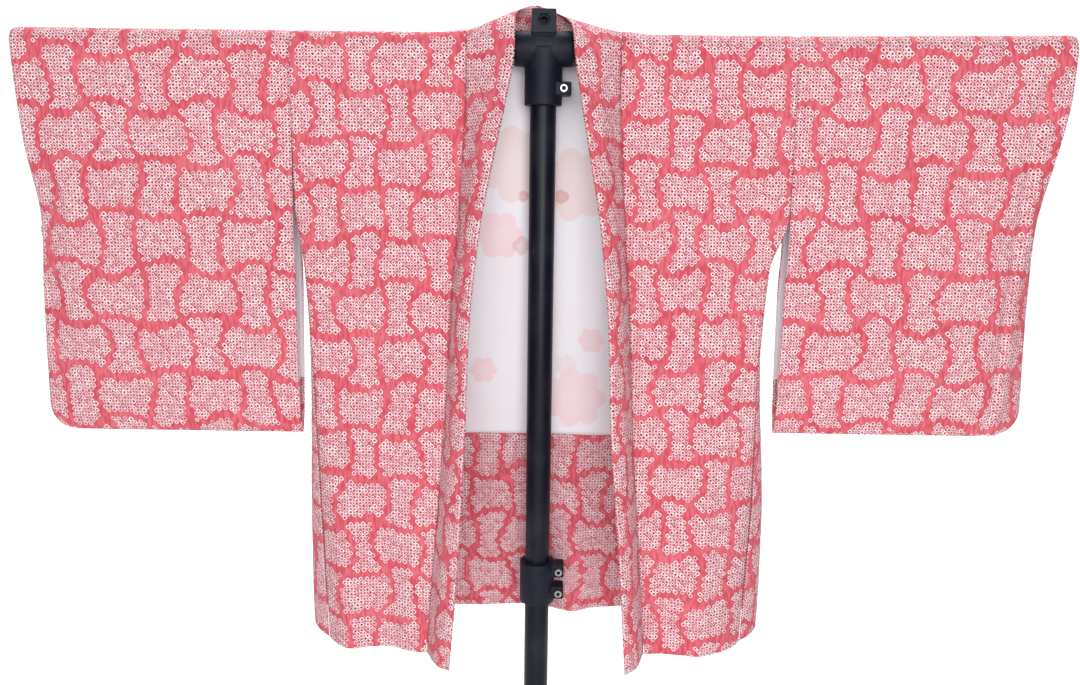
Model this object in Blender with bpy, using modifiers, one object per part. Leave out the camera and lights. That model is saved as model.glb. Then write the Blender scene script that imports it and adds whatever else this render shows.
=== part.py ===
"""A haori jacket hung open on a T-shaped display stand, built the way it is cut and sewn.

Metres, +Z up, front towards -Y, "left" is the side at -X. The origin is on the floor under the
pole. Every cloth piece is a surface through sections, given its wall by Solidify.
"""
import math

import bmesh
import bpy
from mathutils import Matrix, Vector

# ---------------------------------------------------------------- driving sizes of the stand
BAR_Z = 1.320            # height of the cross bar's axis
BAR_RADIUS = 0.014
BAR_HALF = 0.608         # half the cross bar's length, caps left out
POLE_RADIUS = 0.016
BARREL_RADIUS = 0.0205   # outer radius of the casting round the cross bar
LEG_RADIUS = 0.0228      # outer radius of the castings round the pole
FIT_GAP = 0.0003         # clearance between pieces that touch
BASE_RADIUS = 0.215
BASE_THICKNESS = 0.0055
ROUND_SIDES = 24

# ---------------------------------------------------------------- driving sizes of the garment
CLOTH = 0.0016           # outer cloth and its interlining
LINING = 0.0008
LAYER_GAP = 0.0008       # between a panel and the layer inside it
COLLAR = 0.0024          # the collar is folded double
SEAM_GAP = 0.0005
DRAPE_RADIUS = 0.0168    # inner face of the outer cloth where it lies over the bar
SHOULDER_X = 0.302       # centre back to the armhole seam
SLEEVE_END_X = 0.632     # centre back to the cuff
SLEEVE_DROP = 0.466      # bar axis to the bottom of the sleeve
CUFF_DROP = 0.208        # bar axis to the lower end of the cuff opening
CORNER_RADIUS = 0.030    # rounding of the sleeve's lower outer corner
FRONT_DROP = 0.748       # bar axis to the front hem
BACK_DROP = 0.734        # bar axis to the back hem, a little shorter than the front
NECK_DROP = 0.012        # bar axis to the back neckline at the centre
LINING_DROP = 0.486      # bar axis to the seam between back lining and hem facing

ARC = [180, 150, 120, 90, 60, 30, 0]          # degrees over the bar, front to back
FRONT_DROPS = [FRONT_DROP, 0.66, 0.57, 0.47, 0.37, 0.28, 0.20, 0.12, 0.05]
BACK_DROPS = [NECK_DROP, 0.05, 0.12, 0.20, 0.28, 0.37, LINING_DROP, 0.57, 0.65, BACK_DROP]
ACROSS = 8               # quads across a body panel

# What differs between the two sides: the sign of X, where the armhole ends, how far the side
# seam and the front hem have swung in and forward, how far the sleeve's outer corner turns
# back, and how low the sleeve hangs.
SIDES = {
    "left": {"sign": -1, "armhole": 0.200, "swing": 0.006, "forward": 0.014, "curl": 0.002,
             "sag": 0.013, "sleeve_forward": 0.016},
    "right": {"sign": 1, "armhole": 0.218, "swing": 0.017, "forward": 0.000, "curl": 0.016,
              "sag": 0.002, "sleeve_forward": 0.002},
}

# Front panel: where its collar seam and its side seam lie, going down from the bar.
FRONT_SECTIONS = (
    # drop, seam_x, seam_y, side_x, side_y
    (0.000, 0.0920, -0.0168, 0.302, -0.0168),
    (0.063, 0.0925, -0.0210, 0.302, -0.0170),
    (0.121, 0.0955, -0.0270, 0.302, -0.0175),
    (0.200, 0.1000, -0.0350, 0.301, -0.0185),
    (0.297, 0.1070, -0.0440, 0.292, -0.0270),
    (0.456, 0.1155, -0.0550, 0.280, -0.0400),
    (0.600, 0.1260, -0.0640, 0.270, -0.0480),
    (0.748, 0.1380, -0.0700, 0.264, -0.0530),
)

# Back panel: the side seam and how far the cloth stands off behind the bar.
BACK_SECTIONS = (
    # drop, side_x, depth
    (0.000, 0.302, 0.0168),
    (0.120, 0.302, 0.0170),
    (0.200, 0.301, 0.0185),
    (0.300, 0.294, 0.0230),
    (0.456, 0.285, 0.0310),
    (0.600, 0.279, 0.0370),
    (0.734, 0.275, 0.0400),
)

# Collar: its free edge, going down each front from the bar.
COLLAR_EDGE = (
    # drop, edge_x, edge_y
    (0.000, 0.0420, -0.0480),
    (0.063, 0.0510, -0.0620),
    (0.121, 0.0600, -0.0730),
    (0.200, 0.0700, -0.0850),
    (0.297, 0.0850, -0.0980),
    (0.456, 0.0910, -0.1070),
    (0.600, 0.1000, -0.1140),
    (0.751, 0.1100, -0.1200),
)

# Collar round the neck: its free edge over each row of the bar's arc and on to the centre back.
NECK_EDGE = (
    # angle, left_x, left_rise, right_x, right_rise, edge_y
    (180, 0.0420, 0.000, 0.0420, 0.000, -0.0480),
    (150, 0.0400, 0.013, 0.0400, 0.008, -0.0420),
    (120, 0.0380, 0.025, 0.0370, 0.017, -0.0330),
    (90, 0.0350, 0.035, 0.0330, 0.026, -0.0220),
    (60, 0.0320, 0.043, 0.0280, 0.034, -0.0060),
    (30, 0.0280, 0.048, 0.0215, 0.041, 0.0100),
    (0, 0.0200, 0.052, 0.0080, 0.048, 0.0210),
)
NECK_EDGE_BACK = (-0.0080, 0.0240, 0.054)   # free edge at the centre back: x, y, rise
NECK_HALF_WIDTHS = {180: 0.092, 150: 0.092, 120: 0.092, 90: 0.092, 60: 0.089, 30: 0.078, 0: 0.052}
NECK_PUSH, NECK_REACH = 0.0150, 0.060       # how far the fitting pushes the back neck out

# The largest folds, as soft ridges (towards the outside) or troughs of the hanging cloth.
FRONT_FOLDS = {
    # x at the hem, half width, height, drop where it starts
    "left": ((0.185, 0.026, -0.010, 0.40), (0.236, 0.020, 0.006, 0.45)),
    "right": ((0.205, 0.034, 0.011, 0.35),),
}
BACK_FOLDS = (
    # x, half width, height, drop where it starts
    (0.046, 0.024, -0.016, 0.45),
    (-0.030, 0.030, 0.005, 0.40),
    (0.180, 0.040, 0.008, 0.35),
    (-0.190, 0.036, 0.009, 0.30),
)

SLEEVE_STATIONS = [0.0, 0.18, 0.38, 0.58, 0.76, 0.88, 0.95, 0.985, 1.0]
SLEEVE_DROPS = [0.444, 0.40, 0.33, 0.26, CUFF_DROP, 0.14, 0.06]
# How far the outer edge of each sleeve hangs in from the cuff's top corner.
SLEEVE_EDGES = (
    # drop, left, right
    (0.000, 0.000, 0.000),
    (0.063, 0.001, 0.004),
    (0.134, 0.005, 0.015),
    (0.200, 0.012, 0.021),
    (0.300, 0.010, 0.017),
    (0.466, 0.009, 0.010),
)
# Half the sleeve's thickness, from the bar down to its bottom seam.
SLEEVE_DEPTHS = ((0.0, 0.0168), (0.10, 0.0172), (0.20, 0.0180), (0.33, 0.0165), (0.41, 0.0115),
                 (0.45, 0.0060), (0.466, 0.0))


# ---------------------------------------------------------------- small helpers
def clear_scene():
    for found in list(bpy.data.objects):
        bpy.data.objects.remove(found)


def collection(name):
    made = bpy.data.collections.new(name)
    bpy.context.scene.collection.children.link(made)
    return made


def material(name, rgb, roughness, metallic=0.0):
    made = bpy.data.materials.new(name)
    made.use_nodes = True
    shader = made.node_tree.nodes["Principled BSDF"]
    shader.inputs["Base Color"].default_value = (*rgb, 1.0)
    shader.inputs["Roughness"].default_value = roughness
    shader.inputs["Metallic"].default_value = metallic
    return made


def table_row(table, drop):
    """The other columns of a table at this value of its first one, read between its rows."""
    if drop <= table[0][0]:
        return table[0][1:]
    for above, below in zip(table, table[1:]):
        if drop <= below[0]:
            share = (drop - above[0]) / (below[0] - above[0])
            return tuple(a + (b - a) * share for a, b in zip(above[1:], below[1:]))
    return table[-1][1:]


def ramp(value, start, end):
    share = min(1.0, max(0.0, (value - start) / (end - start)))
    return share * share * (3 - 2 * share)


def fold_height(folds, x, drop):
    total = 0.0
    for centre, half_width, height, start in folds:
        reach = ((x - centre) / half_width) ** 2
        total += height * ramp(drop, start, FRONT_DROP) * math.exp(-reach)
    return total


def sheet(name, rows, thickness, outward, skin, home, closed=False):
    """An open surface through rows of points, with Solidify for its wall.

    The wall grows to the side that outward points to; outward takes a face centre and gives a
    direction, and None keeps the side that the order of the rows gives. Rows whose points
    coincide are zipped together.
    """
    shape = bmesh.new()
    grid = [[shape.verts.new(point) for point in row] for row in rows]
    count = len(rows[0])
    for near, far in zip(grid, grid[1:]):
        for i in range(count if closed else count - 1):
            j = (i + 1) % count
            shape.faces.new((near[i], near[j], far[j], far[i]))
    bmesh.ops.remove_doubles(shape, verts=shape.verts, dist=0.00005)
    bmesh.ops.dissolve_degenerate(shape, edges=shape.edges, dist=0.00005)
    if outward:
        bmesh.ops.recalc_face_normals(shape, faces=shape.faces)
        facing = sum(f.normal.dot(outward(f.calc_center_median())) * f.calc_area()
                     for f in shape.faces)
        if facing < 0:
            bmesh.ops.reverse_faces(shape, faces=shape.faces)
    mesh = bpy.data.meshes.new(name)
    shape.to_mesh(mesh)
    shape.free()
    made = bpy.data.objects.new(name, mesh)
    made.data.materials.append(skin)
    home.objects.link(made)
    wall = made.modifiers.new("wall", "SOLIDIFY")
    wall.thickness = thickness
    wall.offset = 1.0
    wall.use_even_offset = False
    for face in mesh.polygons:
        face.use_smooth = True
    return made


def moved_in(rows, outward_rows, distance):
    """Rows of points moved against their outward directions."""
    return [[p - n * distance for p, n in zip(points, normals)]
            for points, normals in zip(rows, outward_rows)]


def row_normals(rows, outward, closed=False):
    """The surface's outward direction at each point, from its neighbours along both ways."""
    found = []
    last, count = len(rows) - 1, len(rows[0])
    for r, row in enumerate(rows):
        line = []
        for i, point in enumerate(row):
            before = row[i - 1] if closed or i else row[0]
            after = row[(i + 1) % count] if closed or i < count - 1 else row[-1]
            along = after - before
            across = rows[min(last, r + 1)][i] - rows[max(0, r - 1)][i]
            normal = along.cross(across)
            if normal.length < 1e-12:
                normal = outward(point)
            normal.normalize()
            line.append(normal if normal.dot(outward(point)) >= 0 else -normal)
        found.append(line)
    return found


# ---------------------------------------------------------------- the body panels
def from_bar(point):
    """Outwards from the line of the bar, for cloth that lies over it."""
    return Vector((0.0, point.y, point.z - BAR_Z if point.z > BAR_Z else 0.0))


def front_point(side, share, drop):
    """The front panel's inner face, share 0 at the collar seam and 1 at the side seam."""
    facts = SIDES[side]
    seam_x, seam_y, side_x, side_y = table_row(FRONT_SECTIONS, drop)
    side_x -= swung_in(side, drop)
    x = seam_x + (side_x - seam_x) * share
    y = seam_y + (side_y - seam_y) * share - facts["forward"] * ramp(drop, 0.20, FRONT_DROP)
    y -= fold_height(FRONT_FOLDS[side], x, drop)
    return Vector((facts["sign"] * x, y, BAR_Z - drop))


def back_depth(x, drop):
    """How far behind the bar's axis the back panel's inner face hangs, x signed."""
    depth = table_row(BACK_SECTIONS, drop)[1]
    depth += NECK_PUSH * math.exp(-(x / NECK_REACH) ** 2) * math.exp(-drop / 0.30)
    return depth + fold_height(BACK_FOLDS, x, drop)


def swung_in(side, drop):
    """How far the side seam has swung in: most just below the armhole, less at the hem."""
    facts = SIDES[side]
    return facts["swing"] * ramp(drop, facts["armhole"] - 0.02, 0.26) * (
        1 - 0.6 * ramp(drop, 0.35, 0.60))


def back_side_x(side, drop):
    return table_row(BACK_SECTIONS, drop)[0] - swung_in(side, drop)


def body_rows(side):
    """The whole panel, cut in one length: front hem, up, over the bar, down to the back hem."""
    sign = SIDES[side]["sign"]
    shares = [i / ACROSS for i in range(ACROSS + 1)]
    rows = [[front_point(side, share, drop) for share in shares] for drop in FRONT_DROPS]
    for angle in ARC:
        turn = math.radians(angle)
        inner = NECK_HALF_WIDTHS[angle]
        row = []
        for share in shares:
            x = inner + (SHOULDER_X - inner) * share
            push = back_depth(sign * x, 0.0) - DRAPE_RADIUS
            y = DRAPE_RADIUS * math.cos(turn) + push * max(0.0, math.cos(turn))
            row.append(Vector((sign * x, y, BAR_Z + DRAPE_RADIUS * math.sin(turn))))
        rows.append(row)
    for drop in BACK_DROPS:
        outer = back_side_x(side, drop)
        row = []
        for share in shares:
            x = SEAM_GAP / 2 + (outer - SEAM_GAP / 2) * share
            row.append(Vector((sign * x, back_depth(sign * x, drop), BAR_Z - drop)))
        rows.append(row)
    return rows


def body(side, skin, home):
    return sheet(f"body_{side}", body_rows(side), CLOTH, from_bar, skin, home)


def gusset(side, skin, home):
    """The machi: a narrow wedge let in between front and back, from the armhole to the hem."""
    facts = SIDES[side]
    start = facts["armhole"] + 0.004
    drops = [start, start + 0.05, 0.33, 0.43, 0.53, 0.63, 0.740]
    rows = []
    for drop in drops:
        front = front_point(side, 1.0, drop)
        # The back hem is shorter, so the wedge's lower edge slopes up towards the back.
        back_drop = min(drop, BACK_DROP)
        back = Vector((facts["sign"] * back_side_x(side, back_drop), back_depth(
            facts["sign"] * back_side_x(side, back_drop), back_drop), BAR_Z - back_drop))
        bulge = 0.046 * ramp(drop, facts["armhole"], FRONT_DROP)
        control = (front + back) / 2 + Vector((facts["sign"] * bulge, 0.0, 0.0))
        row = []
        for i in range(6):
            t = i / 5
            row.append(front * (1 - t) ** 2 + control * 2 * t * (1 - t) + back * t * t)
        first, last = (row[1] - row[0]).normalized(), (row[-2] - row[-1]).normalized()
        row[0] = row[0] + first * 2 * SEAM_GAP
        row[-1] = row[-1] + last * 2 * SEAM_GAP
        rows.append(row)
    side_ways = Vector((facts["sign"], 0.0, 0.0))
    return sheet(f"gusset_{side}", rows, CLOTH, lambda point: side_ways, skin, home)


# ---------------------------------------------------------------- the sleeves
def sleeve_depth(share, drop, end_drop):
    """Half the sleeve's thickness; below the cuff the two layers are sewn shut at the outer end."""
    depth = table_row(SLEEVE_DEPTHS, drop * SLEEVE_DROP / end_drop)[0]
    shut = ramp(drop, CUFF_DROP - 0.10, CUFF_DROP)
    past = max(0.0, (share - 0.70) / 0.30)
    closing = math.sqrt(max(0.0, 1 - past * past))
    slack = 1 - 0.45 * ramp(share, 0.8, 1.0) * ramp(drop, 0.0, CUFF_DROP)
    return depth * (slack * (1 - shut) + closing * shut)


def sleeve_bottom(share):
    """Drop of the bottom seam, which turns up round the outer corner."""
    width = SLEEVE_END_X - SHOULDER_X
    past = max(0.0, share * width - (width - CORNER_RADIUS)) / CORNER_RADIUS
    return SLEEVE_DROP - CORNER_RADIUS * (1 - math.sqrt(max(0.0, 1 - past * past)))


def sleeve_middle(side, share, drop):
    """The pouch hangs a little forward, and its outer corner turns back by its own weight."""
    facts = SIDES[side]
    turned = facts["curl"] * ramp(share, 0.80, 1.0) * ramp(drop, 0.12, 0.34)
    return turned - facts["sleeve_forward"] * ramp(drop, 0.05, SLEEVE_DROP)


def sleeve_x(side, share, drop):
    pulled = table_row(SLEEVE_EDGES, drop)[0 if side == "left" else 1]
    start = SHOULDER_X + SEAM_GAP - 0.0035 * ramp(drop, SIDES[side]["armhole"] + 0.01, 0.32)
    return SIDES[side]["sign"] * (start + (SLEEVE_END_X - pulled - start) * share)


def sleeve_wall(side, share, drop, face):
    end_drop = sleeve_bottom(share)
    drop = drop * end_drop / SLEEVE_DROP
    y = sleeve_middle(side, share, drop) + face * sleeve_depth(share, drop, end_drop)
    sag = SIDES[side]["sag"] * (drop / SLEEVE_DROP) ** 2
    return Vector((sleeve_x(side, share, drop), y, BAR_Z - drop - sag))


def over_bar(side, share, angle):
    turn = math.radians(angle)
    return Vector((sleeve_x(side, share, 0.0), DRAPE_RADIUS * math.cos(turn),
                   BAR_Z + DRAPE_RADIUS * math.sin(turn)))


def sleeve_rows(side, stations, drops, bottom):
    rows = []
    for share in stations:
        ring = [sleeve_wall(side, share, drop, -1) for drop in drops]
        ring += [over_bar(side, share, angle) for angle in ARC]
        ring += [sleeve_wall(side, share, drop, 1) for drop in reversed(drops)]
        if bottom:
            ring.append(sleeve_wall(side, share, SLEEVE_DROP, 0))
        rows.append(ring)
    return rows


def from_middle(side):
    """Outwards from the middle of the sleeve, which hangs a little forward of the bar."""
    def away(point):
        share = (abs(point.x) - SHOULDER_X) / (SLEEVE_END_X - SHOULDER_X)
        middle = sleeve_middle(side, share, max(0.0, BAR_Z - point.z))
        return Vector((0.0, point.y - middle, max(0.0, point.z - BAR_Z)))
    return away


def sleeve(side, skin, home):
    """A bag closed along the bottom and up the outer end to the cuff, open towards the body."""
    rows = sleeve_rows(side, SLEEVE_STATIONS, SLEEVE_DROPS, True)
    return sheet(f"sleeve_{side}", rows, CLOTH, from_middle(side), skin, home, closed=True)


def sleeve_lining(side, skin, home):
    stations = [0.004] + SLEEVE_STATIONS[1:5] + [0.88]
    rows = sleeve_rows(side, stations, SLEEVE_DROPS[1:], False)
    rows = moved_in(rows, row_normals(rows, from_middle(side)), LAYER_GAP + LINING)
    return sheet(f"sleeve_lining_{side}", rows, LINING, from_middle(side), skin, home)


# ---------------------------------------------------------------- lining and facing of the back
def back_layer(name, first, last, skin, home):
    """A second layer inside the back, made from the panels' own rows; first None is the bar."""
    front, over = len(FRONT_DROPS), len(ARC)
    start = front + (ARC.index(90) if first is None else over + BACK_DROPS.index(first))
    stop = front + over + BACK_DROPS.index(last) + 1
    halves = []
    for side in ("left", "right"):
        rows = body_rows(side)
        rows = moved_in(rows, row_normals(rows, from_bar), LAYER_GAP + LINING)[start:stop]
        for row in rows:
            row[-1] = row[-1] + (row[-2] - row[-1]).normalized() * 0.002
        edge, step = (rows[-1], 1) if first is None else (rows[0], -1)
        for point in edge:
            point.z += step * SEAM_GAP
        halves.append(rows)
    # The two halves meet at the centre back, below the neck.
    for k in range(max(0, front + over - start), stop - start):
        left, right = halves[0][k][0], halves[1][k][0]
        halves[0][k][0] = halves[1][k][0] = Vector((0.0, (left.y + right.y) / 2, left.z))
    shape = bmesh.new()
    for rows in halves:
        grid = [[shape.verts.new(point) for point in row] for row in rows]
        for near, far in zip(grid, grid[1:]):
            for i in range(ACROSS):
                shape.faces.new((near[i], near[i + 1], far[i + 1], far[i]))
    bmesh.ops.remove_doubles(shape, verts=shape.verts, dist=0.00005)
    bmesh.ops.recalc_face_normals(shape, faces=shape.faces)
    if sum(f.normal.y * f.calc_area() for f in shape.faces) < 0:
        bmesh.ops.reverse_faces(shape, faces=shape.faces)
    made = finished(shape, name, skin, home)
    wall = made.modifiers.new("wall", "SOLIDIFY")
    wall.thickness = LINING
    wall.offset = 1.0
    return made


# ---------------------------------------------------------------- the collar
def collar_half(side):
    """Stations of one half, from the front hem to the row before the centre back."""
    sign = SIDES[side]["sign"]
    body_edge = [row[0] for row in body_rows(side)]
    stations = []
    for k, drop in enumerate(FRONT_DROPS):
        edge_x, edge_y = table_row(COLLAR_EDGE, drop)
        seam = body_edge[k] + Vector((-sign * SEAM_GAP, -0.0006, 0.0))
        edge_y -= SIDES[side]["forward"] * ramp(drop, 0.20, FRONT_DROP)
        edge = Vector((sign * edge_x, edge_y, BAR_Z - drop - (0.003 if k == 0 else 0.0)))
        stations.append((seam, edge))
    for k, angle in enumerate(ARC):
        left_x, left_rise, right_x, right_rise, edge_y = NECK_EDGE[k][1:]
        edge_x, rise = (left_x, left_rise) if sign < 0 else (right_x, right_rise)
        turn = math.radians(angle)
        lift = Vector((-sign * SEAM_GAP, math.cos(turn) * 0.0010, math.sin(turn) * 0.0010))
        if angle == 0:
            lift = Vector((-sign * SEAM_GAP, 0.0006, SEAM_GAP))
        seam = body_edge[len(FRONT_DROPS) + k] + lift
        stations.append((seam, Vector((sign * edge_x, edge_y, BAR_Z + rise))))
    return stations


def collar_row(seam, edge, bow, count=4):
    """A strip from the seam to the free edge, bowed a little towards its visible side."""
    return [seam.lerp(edge, i / count) + bow * math.sin(math.pi * i / count)
            for i in range(count + 1)]


def collar(skin, home):
    """One long strip: up the left front, round the back of the neck and down the right front."""
    left, right = collar_half("left"), collar_half("right")
    seam_back = Vector((0.0, back_depth(0.0, NECK_DROP) + 0.0006, BAR_Z - NECK_DROP + SEAM_GAP))
    x, y, rise = NECK_EDGE_BACK
    centre = (seam_back, Vector((x, y, BAR_Z + rise)))
    rows = []
    for sign, half in ((-1, left), (1, list(reversed(right)))):
        if sign == 1:
            rows.append(collar_row(*centre, Vector((0.0, 0.002, 0.0))))
        for seam, edge in half:
            bow = Vector((sign * 0.003, 0.0, 0.0)) if seam.z < BAR_Z else Vector((0.0, 0.0, 0.002))
            rows.append(collar_row(seam, edge, bow))
    # In this order the wall grows to the hidden side, so that it never runs into the panel that
    # the collar is sewn to.
    return sheet("collar", rows[::-1], COLLAR, None, skin, home)


# ---------------------------------------------------------------- the stand
def finished(shape, name, skin, home, bevel=0.0):
    mesh = bpy.data.meshes.new(name)
    shape.to_mesh(mesh)
    shape.free()
    made = bpy.data.objects.new(name, mesh)
    made.data.materials.append(skin)
    home.objects.link(made)
    if bevel:
        edge = made.modifiers.new("rounded edges", "BEVEL")
        edge.width = bevel
        edge.segments = 2
        edge.limit_method = "ANGLE"
        edge.angle_limit = math.radians(50)
    return made


def rod(name, radius, start, end, skin, home, bevel=0.0, sides=ROUND_SIDES):
    """A solid round bar between two points."""
    start, end = Vector(start), Vector(end)
    shape = bmesh.new()
    bmesh.ops.create_cone(shape, cap_ends=True, segments=sides, radius1=radius, radius2=radius,
                          depth=(end - start).length)
    turn = (end - start).to_track_quat("Z", "Y").to_matrix().to_4x4()
    bmesh.ops.transform(shape, matrix=Matrix.Translation((start + end) / 2) @ turn,
                        verts=shape.verts)
    return finished(shape, name, skin, home, bevel)


def block(name, low, high, skin, home, bevel=0.0):
    low, high = Vector(low), Vector(high)
    shape = bmesh.new()
    bmesh.ops.create_cube(shape, size=1.0)
    size = Matrix.Diagonal((*(high - low), 1.0))
    bmesh.ops.transform(shape, matrix=Matrix.Translation((low + high) / 2) @ size,
                        verts=shape.verts)
    return finished(shape, name, skin, home, bevel)


def combine(target, others, operation):
    """Boolean each helper into the target; helpers are kept out of the render."""
    for other in others:
        other.hide_render = True
        other.display_type = "WIRE"
        step = target.modifiers.new(operation.lower(), "BOOLEAN")
        step.operation = operation
        step.object = other
    return target


def tee_joint(cast, home, helpers):
    """Cast fitting that clamps the cross bar on top of the pole."""
    long_half, foot = 0.0345, BAR_Z - 0.066
    made = rod("tee_joint", BARREL_RADIUS, (-long_half, 0, BAR_Z), (long_half, 0, BAR_Z), cast,
               home, 0.001)
    combine(made, [
        rod("tee_leg", LEG_RADIUS, (0, 0, foot), (0, 0, BAR_Z), cast, helpers, 0.001),
        block("tee_top", (-0.015, -0.0180, BAR_Z + 0.010), (0.015, 0.008, BAR_Z + 0.044), cast,
              helpers, 0.001),
        block("tee_ear", (0.010, -0.017, BAR_Z - 0.0572), (0.0335, 0.010, BAR_Z - 0.0386), cast,
              helpers, 0.001),
    ], "UNION")
    top_bore = ((0, -0.04, BAR_Z + 0.033), (0, 0.04, BAR_Z + 0.033))
    return combine(made, [
        rod("bar_bore", BAR_RADIUS + FIT_GAP, (-0.05, 0, BAR_Z), (0.05, 0, BAR_Z), cast, helpers),
        rod("pole_bore", POLE_RADIUS + FIT_GAP, (0, 0, foot - 0.02), (0, 0, BAR_Z - 0.0175), cast,
            helpers),
        rod("top_bore", 0.0042, *top_bore, cast, helpers, sides=16),
        rod("ear_bore", 0.0033, (0.0255, -0.04, BAR_Z - 0.0480), (0.0255, 0.04, BAR_Z - 0.0480),
            cast, helpers, sides=16),
    ], "DIFFERENCE")


def coupling(cast, home, helpers):
    """Sleeve that joins the two lengths of the pole, closed by two bolts on its right side."""
    top, foot = BAR_Z - 0.650, BAR_Z - 0.706
    made = rod("coupling", LEG_RADIUS, (0, 0, foot), (0, 0, top), cast, home, 0.001)
    ears = [block(f"coupling_ear_{i}", (0.012, -0.013, z - 0.0085), (0.0350, 0.009, z + 0.0085),
                  cast, helpers, 0.001) for i, z in enumerate((top - 0.014, foot + 0.012))]
    combine(made, ears, "UNION")
    bores = [rod(f"coupling_bore_{i}", 0.0033, (0.0280, -0.04, z), (0.0280, 0.04, z), cast,
                 helpers, sides=16) for i, z in enumerate((top - 0.014, foot + 0.012))]
    pole_bore = rod("coupling_pole_bore", POLE_RADIUS + FIT_GAP, (0, 0, foot - 0.01),
                    (0, 0, top + 0.01), cast, helpers)
    return combine(made, [pole_bore, *bores], "DIFFERENCE")


def bolt(name, x, y_face, z, length, bright, home, helpers):
    """A socket screw: a shank through the ear, a round head in front of it with a hex socket."""
    made = rod(name, 0.0030, (x, y_face, z), (x, y_face + length, z), bright, home, sides=16)
    head = rod(f"{name}_head", 0.0050, (x, y_face - 0.0045, z), (x, y_face - FIT_GAP, z), bright,
               helpers, 0.0006, 20)
    neck = rod(f"{name}_neck", 0.0029, (x, y_face - 0.002, z), (x, y_face + 0.002, z), bright,
               helpers, sides=16)
    socket = rod(f"{name}_socket", 0.0026, (x, y_face - 0.008, z), (x, y_face - 0.0022, z), bright,
                 helpers, sides=6)
    combine(made, [neck, head], "UNION")
    return combine(made, [socket], "DIFFERENCE")


def stand(home, helpers):
    black = material("black_tube", (0.012, 0.014, 0.018), 0.30, 0.0)
    cast = material("black_casting", (0.020, 0.023, 0.028), 0.45, 0.0)
    bright = material("bright_screw", (0.75, 0.73, 0.70), 0.30, 1.0)
    plastic = material("end_cap", (0.018, 0.018, 0.020), 0.55, 0.0)
    joint_z = BAR_Z - 0.678
    base = rod("base_plate", BASE_RADIUS, (0, 0, 0), (0, 0, BASE_THICKNESS), cast, home, 0.002, 48)
    socket_foot = BASE_THICKNESS + FIT_GAP
    socket = rod("base_socket", 0.026, (0, 0, socket_foot), (0, 0, 0.075), cast, home, 0.002)
    combine(socket, [rod("socket_bore", POLE_RADIUS + FIT_GAP, (0, 0, 0.016), (0, 0, 0.10), cast,
                         helpers)], "DIFFERENCE")
    rod("lower_pole", POLE_RADIUS, (0, 0, 0.0163), (0, 0, joint_z - 0.001), black, home)
    rod("upper_pole", POLE_RADIUS, (0, 0, joint_z + 0.001), (0, 0, BAR_Z - 0.0182), black, home)
    rod("cross_bar", BAR_RADIUS, (-BAR_HALF, 0, BAR_Z), (BAR_HALF, 0, BAR_Z), black, home)
    for side, sign in (("left", -1), ("right", 1)):
        start = sign * (BAR_HALF + FIT_GAP)
        rod(f"bar_cap_{side}", BAR_RADIUS, (start, 0, BAR_Z), (start + sign * 0.010, 0, BAR_Z),
            plastic, home, 0.003)
    tee_joint(cast, home, helpers)
    coupling(cast, home, helpers)
    bolt("tee_bolt", 0.0255, -0.017, BAR_Z - 0.0480, 0.030, bright, home, helpers)
    bolt("coupling_bolt_upper", 0.0280, -0.013, BAR_Z - 0.664, 0.025, bright, home, helpers)
    bolt("coupling_bolt_lower", 0.0280, -0.013, BAR_Z - 0.694, 0.025, bright, home, helpers)
    return base


# ---------------------------------------------------------------- the whole object
def main():
    clear_scene()
    home, helpers = collection("haori_on_stand"), collection("cutters")
    helpers.hide_render = True
    stand(home, helpers)
    shibori = material("shibori_silk", (0.78, 0.30, 0.34), 0.75)
    pale = material("lining_silk", (0.86, 0.80, 0.82), 0.45)
    for side in SIDES:
        body(side, shibori, home)
        gusset(side, shibori, home)
        sleeve(side, shibori, home)
        sleeve_lining(side, pale, home)
    collar(shibori, home)
    back_layer("lining_back", None, LINING_DROP, pale, home)
    back_layer("hem_facing", LINING_DROP, BACK_DROP, shibori, home)


main()
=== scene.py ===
# %% [markdown]
# # A haori on a T-shaped stand
# A haori is a short Japanese jacket, worn open over a kimono. This one is silk crepe tied in
# thousands of small knots before it was dyed (kanoko shibori), so each knot left a pale ring
# with a dyed eye. The knots fill waisted cells, and plain dyed bands run between the cells.
#
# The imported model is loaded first. It fixes where everything is, and each piece below is
# made to lie on it.

# %% Load the frame
import math

import bmesh
import bpy
import numpy as np
from mathutils import Matrix, Vector


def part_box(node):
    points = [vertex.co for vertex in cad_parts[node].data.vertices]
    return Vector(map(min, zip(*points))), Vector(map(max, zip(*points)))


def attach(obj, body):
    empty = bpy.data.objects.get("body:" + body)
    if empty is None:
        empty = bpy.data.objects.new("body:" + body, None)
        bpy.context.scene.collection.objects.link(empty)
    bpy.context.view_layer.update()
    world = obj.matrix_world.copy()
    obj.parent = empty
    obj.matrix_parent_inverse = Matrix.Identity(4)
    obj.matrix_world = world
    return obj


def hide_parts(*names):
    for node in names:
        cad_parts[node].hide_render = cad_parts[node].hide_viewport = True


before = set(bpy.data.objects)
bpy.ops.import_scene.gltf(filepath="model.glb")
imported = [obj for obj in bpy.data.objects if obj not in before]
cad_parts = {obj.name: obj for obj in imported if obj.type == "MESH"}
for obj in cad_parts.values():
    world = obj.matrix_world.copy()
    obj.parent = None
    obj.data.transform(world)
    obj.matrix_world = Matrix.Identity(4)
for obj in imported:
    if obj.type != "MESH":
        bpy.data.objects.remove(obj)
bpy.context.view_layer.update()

# %% [markdown]
# ## Sizes
# A cross bar carries the jacket, so heights are counted as drops below its axis. The tables
# say how each piece hangs: a row for each level, read smoothly between the rows.

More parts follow.
